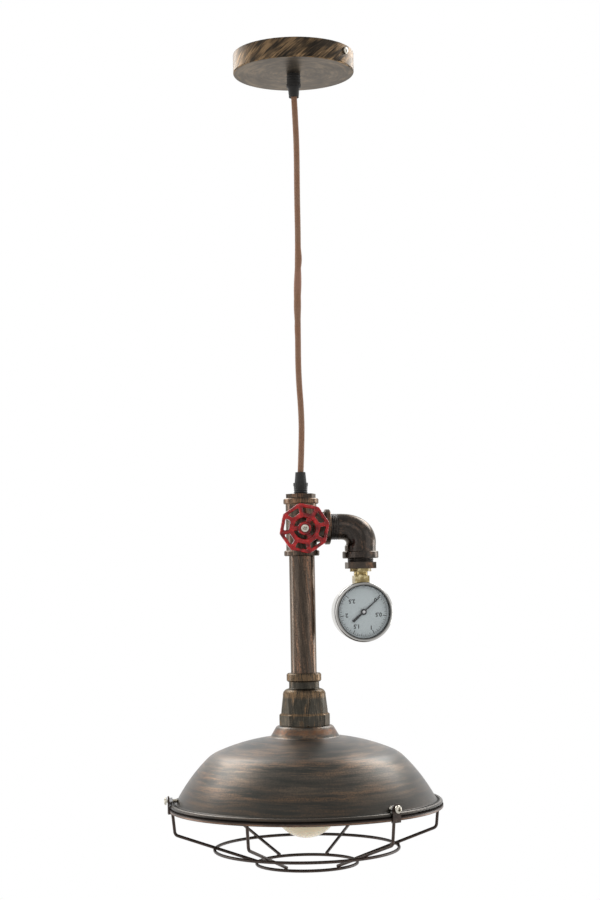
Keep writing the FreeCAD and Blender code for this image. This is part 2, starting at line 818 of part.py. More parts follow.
def on_gauge(shape):
    """Gauge part made facing +Z with +Y up, turned to the front and set under its stem."""
    placed = facing_front(shape, 0, 0, gauge_z)
    placed.rotate(ORIGIN, AXIS_Z, gauge_yaw)
    placed.translate(V(elbow_axis_x, 0, 0))
    return placed


def gauge_case():
    """Round pressed case, open in front, with a square hole on top for the stem."""
    case = rod(gauge_case_radius, -gauge_case_back, gauge_case_front)
    case = round_rim(case, gauge_case_round, gauge_case_radius, -gauge_case_back)
    inside = rod(gauge_case_radius - gauge_case_wall, -gauge_case_back + gauge_case_wall, gauge_case_front)
    inside = round_rim(inside, gauge_case_round - gauge_case_wall, gauge_case_radius - gauge_case_wall,
                       -gauge_case_back + gauge_case_wall)
    half = stem_block_width / 2.0
    front = plate_front() - gauge_plate_thickness
    hole = block((-half, 0, front - stem_block_depth), (half, gauge_case_radius + 1, front))
    return on_gauge(case.cut(inside).cut(hole))


def window_back():
    """Height of the window's back face over the stem's axis."""
    return gauge_bezel_front - gauge_bezel_lip - gauge_window_thickness


def gauge_bezel():
    """Rounded ring around the case's mouth that clamps the dial and the window."""
    lip = window_back() + gauge_window_thickness
    window_radius = gauge_bezel_opening + gauge_window_seat
    skirt_end = plate_front() - gauge_plate_thickness + seat_clearance
    case_seat = gauge_case_radius + thread_clearance
    bend = gauge_bezel_round
    middle = bend * (1.0 - math.sqrt(0.5))
    bezel = turned((gauge_bezel_opening, gauge_case_front), (gauge_bezel_opening, window_back()),
                   (window_radius, window_back()), (window_radius, lip), (gauge_bezel_opening, lip),
                   (gauge_bezel_opening, gauge_bezel_front), (gauge_bezel_radius - bend, gauge_bezel_front),
                   ((gauge_bezel_radius - middle, gauge_bezel_front - middle),
                    (gauge_bezel_radius, gauge_bezel_front - bend)),
                   (gauge_bezel_radius, skirt_end), (case_seat, skirt_end), (case_seat, gauge_case_front))
    return on_gauge(bezel)


def gauge_window():
    """Clear window behind the bezel's lip."""
    radius = gauge_bezel_opening + gauge_window_seat - thread_clearance
    return on_gauge(rod(radius, window_back(), window_back() + gauge_window_thickness))


def gauge_dial():
    """Flat dial clamped between the bezel and the movement's front plate."""
    radius = gauge_case_radius - gauge_case_wall - seat_clearance
    low = gauge_case_front - gauge_dial_thickness
    dial = rod(radius, low, gauge_case_front)
    return on_gauge(dial.cut(rod(pointer_spindle_radius + loose_clearance, low, gauge_case_front)))


def plate_front():
    """Front face of the movement, against the dial's back."""
    return gauge_case_front - gauge_dial_thickness


def gauge_movement():
    """Two plates on pillars that carry the pointer's spindle, the front one fixed to the stem's block."""
    front = plate_front()
    half = gauge_plate_width / 2.0
    block_end = stem_block_end()
    front_plate = block((-half, -gauge_plate_half_length, front - gauge_plate_thickness),
                        (half, block_end + stem_block_length / 3.0, front))
    rear_low = front - gauge_plate_thickness - gauge_plate_spacing
    rear_plate = block((-half, -gauge_plate_half_length, rear_low - gauge_plate_thickness),
                       (half, gauge_plate_half_length, rear_low))
    pillars = []
    for side in (-1, 1):
        place = side * (half - gauge_pillar_radius)
        pillars.append(rod(gauge_pillar_radius, rear_low, front - gauge_plate_thickness, place,
                           gauge_pillar_radius - gauge_plate_half_length))
    pack = fused([front_plate, rear_plate] + pillars)
    bearing = rod(pointer_spindle_radius + turning_clearance, rear_low - gauge_plate_thickness, front)
    return on_gauge(pack.cut(bearing))


def stem_block_end():
    """Lower end of the stem's block, above the dial's centre."""
    return stem_block_top_z - stem_block_length - gauge_z


def bourdon_tube():
    """Flattened tube curled from the stem's block round the movement."""
    centre = gauge_case_front - gauge_dial_thickness - gauge_plate_thickness - bourdon_width
    low = bourdon_radius - bourdon_thickness / 2.0
    high = bourdon_radius + bourdon_thickness / 2.0
    half = bourdon_width / 2.0
    points = [V(low, 0, centre - half), V(high, 0, centre - half),
              V(high, 0, centre + half), V(low, 0, centre + half)]
    section = Part.Face(Part.makePolygon(points + [points[0]]))
    tube = turned_about_z(section.revolve(ORIGIN, AXIS_Z, -bourdon_sweep), bourdon_start_angle)
    side = stem_block_width / 2.0
    carrier = block((-side, stem_block_end(), -gauge_case_back), (side, gauge_case_radius, gauge_case_front))
    return on_gauge(tube.cut(carrier))


def gauge_pointer():
    """Black pointer with a broad tail, its hub cap and the spindle behind it."""
    low = gauge_case_front + pointer_height
    high = low + pointer_thickness
    half_tip = pointer_tip_width / 2.0
    half_root = pointer_root_width / 2.0
    half_tail = pointer_tail_width / 2.0
    points = [V(half_tip, pointer_length, low), V(half_root, 0, low), V(half_tail, -pointer_tail, low),
              V(-half_tail, -pointer_tail, low), V(-half_root, 0, low), V(-half_tip, pointer_length, low)]
    needle = Part.Face(Part.makePolygon(points + [points[0]])).extrude(V(0, 0, pointer_thickness))
    hub = rod(pointer_hub_radius, low - pointer_hub_height / 2.0, high + pointer_hub_height / 2.0)
    rear = plate_front() - 2.0 * gauge_plate_thickness - gauge_plate_spacing
    spindle = rod(pointer_spindle_radius, rear, low)
    return on_gauge(turned_about_z(fused([needle, hub, spindle]), -pointer_rest_angle))


# Reducing socket and lampholder

def reducing_socket():
    """Cast socket that widens from the pipe to an eight-sided foot over the shade."""
    neck_top = reducer_top_z - reducer_band_height
    neck_bottom = neck_top - reducer_neck_height
    shoulder_z = neck_bottom - reducer_shoulder_height
    foot_top = reducer_bottom_z + reducer_foot_height
    cove_radius = reducer_neck_radius + reducer_cove
    cove_middle = (cove_radius - reducer_cove * math.sqrt(0.5),
                   neck_bottom + reducer_cove * (1.0 - math.sqrt(0.5)))
    bend = reducer_shoulder_radius - cove_radius
    shoulder_middle = (cove_radius + bend * math.sqrt(0.5),
                       shoulder_z + reducer_shoulder_height * math.sqrt(0.5))
    body = turned((0, neck_top), (reducer_neck_radius, neck_top),
                  (reducer_neck_radius, neck_bottom + reducer_cove),
                  (cove_middle, (cove_radius, neck_bottom)),
                  (shoulder_middle, (reducer_shoulder_radius, shoulder_z)),
                  (reducer_skirt_radius, foot_top), (0, foot_top))
    to_corner = 0.5 / math.cos(math.pi / reducer_sides)
    flats = Part.makeLoft([
        polygon_wire(reducer_skirt_flats_bottom * to_corner, reducer_sides, reducer_turn, foot_top),
        polygon_wire(reducer_skirt_flats_top * to_corner, reducer_sides, reducer_turn, neck_top),
    ], True, True)
    foot = prism(reducer_foot_flats, reducer_sides, reducer_bottom_z, foot_top, reducer_turn)
    corner = reducer_foot_flats * to_corner
    chamfer = reducer_foot_chamfer
    breaker = turned((0, reducer_bottom_z), (corner - chamfer, reducer_bottom_z),
                     (corner, reducer_bottom_z + chamfer), (corner, foot_top - chamfer),
                     (corner - chamfer, foot_top), (0, foot_top))
    band = tapered_band(reducer_band_radius, neck_top, reducer_top_z, reducer_band_chamfer)
    casting = fused([band, body.common(flats), foot.common(breaker)])
    bores = [
        rod(pipe_seat_radius, reducer_top_z - socket_depth, reducer_top_z),
        rod(reducer_throat_radius, bridge_top_z, reducer_top_z),
        rod(reducer_holder_bore, reducer_bottom_z, bridge_top_z),
    ]
    return casting.cut(fused(bores))


def bridge_washer():
    """Steel disc in the socket's step that the lampholder hangs from."""
    low = bridge_top_z - bridge_thickness
    disc = rod(reducer_holder_bore - seat_clearance, low, bridge_top_z)
    return disc.cut(rod(nipple_radius + thread_clearance, low, bridge_top_z))


def holder_nipple():
    """Hollow threaded rod through the bridge into the lampholder."""
    low = holder_top_z - nipple_in_holder
    high = bridge_top_z + nipple_above_bridge
    return rod(nipple_radius, low, high).cut(rod(nipple_bore_radius, low, high))


def nipple_nuts():
    """Nuts above and below the bridge."""
    nuts = []
    for low in (bridge_top_z, bridge_top_z - bridge_thickness - nipple_nut_height):
        nut = prism(nipple_nut_flats, 6, low, low + nipple_nut_height)
        nuts.append(nut.cut(rod(nipple_radius + thread_clearance, low, low + nipple_nut_height)))
    return Part.makeCompound(nuts)


def lampholder():
    """Lampholder shell, its flange on the shade and its skirt below it."""
    body = rod(holder_radius, holder_bottom_z, holder_top_z)
    body = round_rim(body, holder_edge_round, holder_radius, holder_top_z)
    flange = rod(holder_flange_radius, reducer_bottom_z, reducer_bottom_z + holder_flange_thickness)
    holder = fused([body, flange])
    mouth_top = holder_bottom_z + holder_mouth_depth
    bores = [
        rod(holder_mouth_radius, holder_bottom_z, mouth_top),
        rod(socket_outer_radius + thread_clearance, mouth_top, socket_top_z),
        rod(gland_bore_radius, socket_top_z + cable_end_above_contact, holder_top_z - nipple_in_holder),
        rod(nipple_radius + thread_clearance, holder_top_z - nipple_in_holder, holder_top_z),
    ]
    return holder.cut(Part.makeCompound(bores))


def holder_ring():
    """Ring nut that clamps the shade from inside."""
    high = reducer_bottom_z - shade_wall
    radius = shade_collar_flat_radius - loose_clearance
    ring = turned((0, high), (radius, high), (radius, high - holder_ring_height / 3.0),
                  (holder_ring_lip_radius, high - holder_ring_height), (0, high - holder_ring_height))
    return ring.cut(rod(holder_radius + thread_clearance, high - holder_ring_height, high))


def socket_shell():
    """Brass screw shell that takes the bulb's cap."""
    low = holder_bottom_z + holder_mouth_depth
    bore = rod(socket_outer_radius - socket_wall, low, socket_top_z)
    return rod(socket_outer_radius, low, socket_top_z).cut(bore)


def bulb_cap_radius():
    """Radius of the bulb's cap, a thread's play inside the screw shell."""
    return socket_outer_radius - socket_wall - seat_clearance


def socket_contact():
    """Centre contact at the bottom of the socket."""
    return rod(contact_radius, socket_top_z - contact_height, socket_top_z)


def bulb_cap_top_z():
    """Height of the end of the bulb's cap, against the contact."""
    return socket_top_z - contact_height


def bulb_cap():
    """Hollow metal screw cap of the bulb with its end contact."""
    top = bulb_cap_top_z()
    radius = bulb_cap_radius()
    inside = radius - bulb_cap_wall
    shoulder = top - bulb_cap_tip_height
    low = top - bulb_cap_height
    return turned((0, top), (bulb_cap_tip_radius, top), (radius, shoulder), (radius, low),
                  (inside, low), (inside, shoulder - bulb_cap_wall), (0, shoulder - bulb_cap_wall))


def bulb_glass():
    """Opal globe with its neck, a closed glass shell."""
    neck_top = bulb_cap_top_z() - bulb_cap_height
    centre = shade_rim_z() - bulb_bottom_below_rim + bulb_radius
    outer = bulb_outline(neck_top, centre, bulb_cap_radius(), 0)
    inner = bulb_outline(neck_top - bulb_wall, centre, bulb_cap_radius(), bulb_wall)
    return outer.cut(inner)


def bulb_outline(top, centre, cap_radius, inset):
    """Solid inside the bulb's glass, inset from its outer surface."""
    radius = bulb_radius - inset
    neck_radius = bulb_neck_radius - inset
    neck_z = bulb_cap_top_z() - bulb_cap_height - bulb_neck_below_cap
    join = math.radians(48.0)
    join_point = (radius * math.sin(join), centre + radius * math.cos(join))
    tangent_reach = (join_point[0] - neck_radius) * 0.45
    middle = (neck_radius + tangent_reach * 0.5, (neck_z + join_point[1]) / 2.0 + tangent_reach * 0.12)
    lower = (radius * math.sin(math.radians(150.0)), centre + radius * math.cos(math.radians(150.0)))
    lowest = (radius * math.sin(math.radians(165.0)), centre + radius * math.cos(math.radians(165.0)))
    return turned((0, top), (cap_radius - inset, top), (neck_radius, neck_z),
                  (middle, join_point), ((radius, centre), lower), (lowest, (0, centre - radius)))


# Shade

def shade_hole_radius():
    """Hole in the shade's collar for the lampholder."""
    return holder_radius + loose_clearance


def shade_steps():
    """The shade's outline from its hole outwards: (length or radius, turn), no turn for a straight run."""
    return [
        (shade_collar_flat_radius - shade_hole_radius(), 0.0),
        (shade_collar_round, shade_collar_slope),
        (shade_collar_side, 0.0),
        (-shade_collar_fillet, shade_crown_start_slope - shade_collar_slope),
        (shade_crown_radius, shade_crown_turn),
        (shade_shoulder_radius, shade_shoulder_turn),
        (shade_skirt_radius, shade_skirt_turn),
        (-shade_lip_radius, -shade_lip_turn),
        (shade_lip_length, 0.0),
    ]


def shade_line(inset):
    """Edges of the outline, its points, and its last slope, inset from the outer surface."""
    here = V(shade_hole_radius(), 0, reducer_bottom_z - inset)
    slope = 0.0
    edges = []
    points = [here]
    for size, turn in shade_steps():
        if turn == 0.0:
            end = here + V(math.cos(slope), 0, -math.sin(slope)) * size
            edges.append(Part.LineSegment(here, end).toShape())
        else:
            radius = size - inset
            centre = here - V(math.sin(slope), 0, math.cos(slope)) * radius
            middle_slope = slope + math.radians(turn) / 2.0
            slope = slope + math.radians(turn)
            middle = centre + V(math.sin(middle_slope), 0, math.cos(middle_slope)) * radius
            end = centre + V(math.sin(slope), 0, math.cos(slope)) * radius
            edges.append(Part.Arc(here, middle, end).toShape())
        here = end
        points.append(here)
    return edges, points, slope


def shade_bead_centre():
    """Radius and height of the rolled bead's centre."""
    _, points, slope = shade_line(shade_wall / 2.0)
    return points[-1] + V(math.cos(slope), 0, -math.sin(slope)) * (shade_bead_radius - shade_wall * 0.8)


def shade_rim_z():
    """Height of the bead's underside, on which the guard's ring sits."""
    return shade_bead_centre().z - shade_bead_radius


def shade_radius_at(z):
    """Outer radius of the shade's skirt at a height."""
    _, points, _ = shade_line(0.0)
    skirt_end = points[-3]
    slope = math.radians(shade_crown_start_slope + shade_crown_turn + shade_shoulder_turn + shade_skirt_turn)
    centre = skirt_end - V(math.sin(slope), 0, math.cos(slope)) * shade_skirt_radius
    return centre.x + math.sqrt(shade_skirt_radius ** 2 - (z - centre.z) ** 2)


def lamp_shade():
    """Pressed dome with a stepped collar, rolled over a bead at its rim."""
    outer, outer_points, _ = shade_line(0.0)
    inner, inner_points, _ = shade_line(shade_wall)
    closing = [Part.LineSegment(outer_points[0], inner_points[0]).toShape(),
               Part.LineSegment(outer_points[-1], inner_points[-1]).toShape()]
    wire = Part.Wire(Part.__sortEdges__(outer + inner + closing))
    sheet = Part.Face(wire).revolve(ORIGIN, AXIS_Z, 360)
    centre = shade_bead_centre()
    bead = Part.makeTorus(centre.x, shade_bead_radius, V(0, 0, centre.z))
    return sheet.fuse(bead)


# Guard

def guard_ring_outer_radius():
    """Outer radius of the guard's flat ring, a little outside the shade's bead."""
    return shade_bead_centre().x + shade_bead_radius + guard_ring_overhang


def guard_ring_top_z():
    """Top of the guard's flat ring, under the shade's bead."""
    return shade_rim_z() - seat_clearance


def guard_rim_ring():
    """Flat ring under the shade's bead."""
    high = guard_ring_top_z()
    low = high - guard_ring_height
    outer = guard_ring_outer_radius()
    return rod(outer, low, high).cut(rod(outer - guard_ring_thickness, low, high))


def leg_corner():
    """Where a leg turns in under the shade: radius and height."""
    top_radius = guard_ring_outer_radius() - guard_ring_thickness - guard_wire_radius + guard_leg_weld
    return top_radius, top_radius - guard_leg_lean, guard_ring_top_z() - guard_leg_drop


def guard_leg_wires():
    """Bent wires from the flat ring down and in to the bottom ring."""
    top_radius, corner_radius, corner_z = leg_corner()
    points = [V(top_radius, 0, guard_ring_top_z() - seat_clearance), V(corner_radius, 0, corner_z),
              V(guard_leg_end_radius, 0, corner_z - guard_floor_drop)]
    leg = wire_solid(rounded_path(points, guard_leg_bend_radius), guard_wire_radius)
    return Part.makeCompound([turned_about_z(leg, angle) for angle in guard_leg_angles])


def guard_hoop(radius):
    """Round hoop welded under the legs' sloping runs."""
    _, corner_radius, corner_z = leg_corner()
    fall = guard_floor_drop / (corner_radius - guard_leg_end_radius)
    leg_z = corner_z - fall * (corner_radius - radius)
    below = (2.0 * guard_wire_radius - guard_leg_weld) * math.sqrt(1.0 + fall ** 2)
    return Part.makeTorus(radius, guard_wire_radius, V(0, 0, leg_z - below))


def clamp_screw_z():
    """Height of the clamp screws, just over the bead."""
    return shade_bead_centre().z + shade_bead_radius + clamp_nut_flats / 2.0 + 2.0 * seat_clearance


def guard_clamps():
    """Upright tabs hooked under the flat ring, round-topped over the bead."""
    ring_bottom = guard_ring_top_z() - guard_ring_height
    low = ring_bottom - clamp_thickness
    inner = guard_ring_outer_radius()
    outer = inner + clamp_thickness
    half = clamp_width / 2.0
    tab = block((inner, -half, low), (outer, half, clamp_screw_z()))
    top = rod_along_x(half, inner, outer, 0, clamp_screw_z())
    hook = block((inner - guard_ring_thickness, -half, low), (inner, half, ring_bottom))
    clamp = fused([tab, top, hook])
    clamp = clamp.cut(rod_along_x(clamp_screw_radius + thread_clearance, inner, outer, 0, clamp_screw_z()))
    return Part.makeCompound(ring_of(clamp, clamp_count, clamp_first_angle))


def clamp_screws():
    """Pan-head screws through the tabs, not quite driven home, their tips against the shade."""
    seat = guard_ring_outer_radius() + clamp_thickness + clamp_screw_stand_off
    tip = shade_radius_at(clamp_screw_z() - clamp_screw_tip_radius) + seat_clearance
    shank = turned((0, tip), (clamp_screw_tip_radius, tip), (clamp_screw_radius, tip + clamp_screw_taper),
                   (clamp_screw_radius, seat), (0, seat))
    head = rod(clamp_screw_head_radius, seat, seat + clamp_screw_head_height)
    head = round_rim(head, clamp_screw_head_height * 0.7, clamp_screw_head_radius,
                     seat + clamp_screw_head_height)
    screw = fused([shank, head])
    screw.rotate(ORIGIN, AXIS_Y, 90)
    screw.translate(V(0, 0, clamp_screw_z()))
    return Part.makeCompound(ring_of(screw, clamp_count, clamp_first_angle))


def clamp_nuts():
    """Hexagon nuts on the screws, inside the tabs."""
    high = guard_ring_outer_radius()
    low = high - clamp_nut_height
    nut = prism(clamp_nut_flats, 6, low, high, clamp_nut_turn)
    nut = nut.cut(rod(clamp_screw_radius + thread_clearance, low, high))
    nut.rotate(ORIGIN, AXIS_Y, 90)
    nut.translate(V(0, 0, clamp_screw_z()))
    return Part.makeCompound(ring_of(nut, clamp_count, clamp_first_angle))


PARTS = {
    "ceiling_bracket": ceiling_bracket(),
    "canopy_cover": canopy_cover(),
    "canopy_screws": canopy_screws(),
    "terminal_block": terminal_block(),
    "canopy_leads": canopy_leads(),
    "canopy_cord_tail": canopy_cord_tail(),
    "canopy_gland_cap": at_canopy(gland_cap()),
    "canopy_gland_body": at_canopy(gland_body(canopy_gland_collar, canopy_gland_foot_radius,
                                                canopy_gland_thread)),
    "canopy_gland_locknut": canopy_gland_locknut(),
    "hanging_cord": hanging_cord(),
    "lamp_gland_cap": at_lamp(gland_cap()),
    "lamp_gland_body": at_lamp(gland_body(lamp_gland_collar, lamp_gland_foot_radius, lamp_gland_thread)),
    "lamp_cable": lamp_cable(),
    "top_bushing": top_bushing(),
    "pipe_tee": pipe_tee(),
    "drop_pipe": drop_pipe(),
    "packing_nut": packing_nut(),
    "wheel_spindle": wheel_spindle(),
    "handwheel": handwheel(),
    "wheel_screw": wheel_screw(),
    "street_elbow": street_elbow(),
    "gauge_bushing": gauge_bushing(),
    "gauge_socket": gauge_socket(),
    "gauge_case": gauge_case(),
    "gauge_bezel": gauge_bezel(),
    "gauge_window": gauge_window(),
    "gauge_dial": gauge_dial(),
    "gauge_movement": gauge_movement(),
    "bourdon_tube": bourdon_tube(),
    "gauge_pointer": gauge_pointer(),
    "reducing_socket": reducing_socket(),
    "bridge_washer": bridge_washer(),
    "holder_nipple": holder_nipple(),
    "nipple_nuts": nipple_nuts(),
    "lampholder": lampholder(),
    "holder_ring": holder_ring(),
    "socket_shell": socket_shell(),
    "socket_contact": socket_contact(),
    "bulb_cap": bulb_cap(),
    "bulb_glass": bulb_glass(),
    "lamp_shade": lamp_shade(),
    "guard_rim_ring": guard_rim_ring(),
    "guard_leg_wires": guard_leg_wires(),
    "guard_middle_ring": guard_hoop(guard_middle_ring_radius),
    "guard_bottom_ring": guard_hoop(guard_bottom_ring_radius),
    "guard_clamps": guard_clamps(),
    "clamp_screws": clamp_screws(),
    "clamp_nuts": clamp_nuts(),
}

os.makedirs("parts", exist_ok=True)
for name, shape in PARTS.items():
    shape.exportStep("parts/" + name + ".step")
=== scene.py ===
"""Looks of the pipe-fitting pendant lamp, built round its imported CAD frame.

Metres, in the frame of the CAD: the ceiling is z = 0, the lamp hangs on the Z axis, the elbow and gauge lie
towards +X and the handwheel faces -Y. Every piece is made in that frame with its object at the origin, so a
material's object coordinates are places on the lamp at rest.
"""

import math
import random

import bmesh
import bpy
from mathutils import Matrix, Vector, noise


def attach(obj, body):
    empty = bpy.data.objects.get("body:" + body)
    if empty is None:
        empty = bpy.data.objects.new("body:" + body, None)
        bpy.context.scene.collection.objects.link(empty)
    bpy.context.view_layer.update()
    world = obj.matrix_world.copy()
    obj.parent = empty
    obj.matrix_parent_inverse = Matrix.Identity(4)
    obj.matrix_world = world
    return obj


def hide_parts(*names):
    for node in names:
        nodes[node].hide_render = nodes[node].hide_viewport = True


MM = 0.001
X_AXIS, Y_AXIS, Z_AXIS = Vector((1, 0, 0)), Vector((0, 1, 0)), Vector((0, 0, 1))

# Camera: focal length in pixels on the 900-pixel side, and its place round the lamp
PHOTO_HEIGHT = 900
FOCAL_PIXELS = 1746.2
CAMERA_DISTANCE = 1.835
CAMERA_HEIGHT = -0.5549
CAMERA_TURN = 5.5
CAMERA_PITCH = 4.08
CAMERA_ROLL = 1.0

# Cord, with the route of its CAD solid: x, y and the drop below the upper pivot, in millimetres
UPPER_PIVOT_Z = -42.3
CORD_RADIUS = 3.0
CORD_ROUTE = [(0.0, 0.0, 0.0), (0.9, -0.1, 22.0), (2.0, -0.4, 58.0), (1.5, -0.7, 112.0), (1.8, 0.2, 164.0),
              (0.3, 0.8, 212.0), (0.0, 0.9, 262.0), (-0.3, 0.6, 302.0), (2.3, 0.2, 344.0), (1.8, -0.2, 376.0),
              (0.0, 0.0, 409.2)]
# Knots in the cord's cores, each (middle z, half its length, height, side as an angle round the cord), and the
# height where the braid over them is pinker
KNOTS = ((-221.0, 15.0, 1.1, math.pi), (-246.0, 26.0, 0.95, math.pi), (-254.0, 30.0, 0.9, 0.0),
         (-270.0, 24.0, 0.9, 0.0), (-268.0, 20.0, 0.55, math.pi), (-294.0, 12.0, 0.35, 0.0))
PINK_Z = -244.0

# Places that the detail pieces share with the CAD, in millimetres
TEE_Z = -505.4
ELBOW_X = 61.9
ELBOW_BEND = 20.5
SPINDLE_Z = -507.4
GAUGE_Z = -595.0
GAUGE_YAW = math.radians(6.5)
GAUGE_CENTRE = Vector((ELBOW_X, 0, GAUGE_Z)) * MM
GAUGE_NORMAL = Vector((math.sin(GAUGE_YAW), -math.cos(GAUGE_YAW), 0))
GAUGE_RIGHT = Vector((math.cos(GAUGE_YAW), math.sin(GAUGE_YAW), 0))
BRACKET_ANGLE = -37.5
CLAMP_ANGLES = (-57.5, 62.5, 182.5)
LEG_ANGLES = (-57.5, 0.0, 60.0, 120.0, 180.0, 240.0)

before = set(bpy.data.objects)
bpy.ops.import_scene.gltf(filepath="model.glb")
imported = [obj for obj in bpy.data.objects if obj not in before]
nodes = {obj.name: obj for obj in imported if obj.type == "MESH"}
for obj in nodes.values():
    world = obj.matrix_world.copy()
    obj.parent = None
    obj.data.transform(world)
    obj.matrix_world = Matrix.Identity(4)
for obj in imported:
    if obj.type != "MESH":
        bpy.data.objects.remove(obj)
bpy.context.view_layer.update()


def in_scene(name, data):
    """Object for a mesh, curve, light or camera, linked to the scene."""
    made = bpy.data.objects.new(name, data)
    bpy.context.scene.collection.objects.link(made)
    return made


# Camera

def place_camera():
    """Camera where the photograph was taken from, rolled as the photograph is."""
    turn, pitch, roll = (math.radians(a) for a in (CAMERA_TURN, CAMERA_PITCH, CAMERA_ROLL))
    forward = Vector((math.sin(turn) * math.cos(pitch), math.cos(turn) * math.cos(pitch), math.sin(pitch)))
    level = forward.cross(Z_AXIS).normalized()
    upright = level.cross(forward)
    right = level * math.cos(roll) - upright * math.sin(roll)
    above = upright * math.cos(roll) + level * math.sin(roll)
    data = bpy.data.cameras.new("camera")
    data.sensor_width = 36.0
    data.lens = FOCAL_PIXELS / PHOTO_HEIGHT * data.sensor_width
    data.clip_start, data.clip_end = 0.05, 60.0
    camera = in_scene("camera", data)
    place = Vector((-CAMERA_DISTANCE * math.sin(turn), -CAMERA_DISTANCE * math.cos(turn), CAMERA_HEIGHT))
    camera.matrix_world = Matrix.Translation(place) @ Matrix((right, above, -forward)).transposed().to_4x4()
    bpy.context.scene.camera = camera


place_camera()


# Mesh helpers

def add_object(name, mesh, body, finish):
    """Puts a mesh in the scene with its finish, riding on a CAD body."""
    made = in_scene(name, mesh)
    mesh.materials.clear()
    mesh.materials.append(FINISH[finish])
    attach(made, body)
    return made


def evaluated(holder):
    """Mesh that an object's curve or modifiers make; the object is removed."""
    graph = bpy.context.evaluated_depsgraph_get()
    mesh = bpy.data.meshes.new_from_object(holder.evaluated_get(graph))
    bpy.data.objects.remove(holder)
    return mesh


def set_smooth(mesh, smooth):
    """Shades every face of a mesh smooth or flat."""
    for face in mesh.polygons:
        face.use_smooth = smooth
    return mesh


def mesh_from(name, points, faces, smooth=True):
    """Mesh from points and faces, its faces turned outwards."""
    mesh = bpy.data.meshes.new(name)
    mesh.from_pydata([tuple(p) for p in points], [], faces)
    work = bmesh.new()
    work.from_mesh(mesh)
    bmesh.ops.recalc_face_normals(work, faces=work.faces)
    work.to_mesh(mesh)
    work.free()
    return set_smooth(mesh, smooth)


def walls(near, far):
    """Faces between two rings of numbered points; a ring of one point is a tip."""
    faces = []
    for index in range(max(len(near), len(far))):
        corners = (near[index % len(near)], near[(index + 1) % len(near)],
                   far[(index + 1) % len(far)], far[index % len(far)])
        face = [p for p, q in zip(corners, corners[1:] + corners[:1]) if p != q]
        if len(face) > 2:
            faces.append(face)
    return faces


def skin(name, rings, ends="open", smooth=True):
    """Mesh over rings of points, its two ends open, capped or joined to each other."""
    points, numbered = [], []
    for ring in rings:
        numbered.append(list(range(len(points), len(points) + len(ring))))
        points += ring
    faces = [numbered[0], numbered[-1]] if ends == "capped" else []
    following = numbered[1:] + (numbered[:1] if ends == "joined" else [])
    for near, far in zip(numbered, following):
        faces += walls(near, far)
    return mesh_from(name, points, faces, smooth)


def joined(name, meshes):
    """One mesh from several."""
    work = bmesh.new()
    for mesh in meshes:
        work.from_mesh(mesh)
    mesh = bpy.data.meshes.new(name)
    work.to_mesh(mesh)
    work.free()
    return mesh


def axes_for(direction):
    """Two unit vectors square to a direction, and the direction."""
    w = Vector(direction).normalized()
    u = w.cross(Z_AXIS if abs(w.z) < 0.9 else X_AXIS).normalized()
    return u, w.cross(u), w


def outward(angle):
    """Unit vector away from the lamp's axis, at an angle in degrees."""
    return Vector((math.cos(math.radians(angle)), math.sin(math.radians(angle)), 0))


def beside(angle, radius, height):
    """Place at an angle in degrees round the lamp's axis, its radius and height in millimetres."""
    return outward(angle) * radius * MM + Vector((0, 0, height * MM))


def lathe(name, profile, origin=(0, 0, 0), direction=Z_AXIS, sides=48):
    """Solid of revolution from (radius, height) points in millimetres, closed where a radius is 0."""
    u, v, w = axes_for(direction)
    angles = [2 * math.pi * index / sides for index in range(sides)]
    rings = []
    for radius, height in profile:
        centre = Vector(origin) + w * height * MM
        reach = radius * MM
        rings.append([centre + u * reach * math.cos(a) + v * reach * math.sin(a) for a in angles] if reach else
                     [centre])
    return skin(name, rings)


# Materials, each kept in FINISH under its name

FINISH = {}


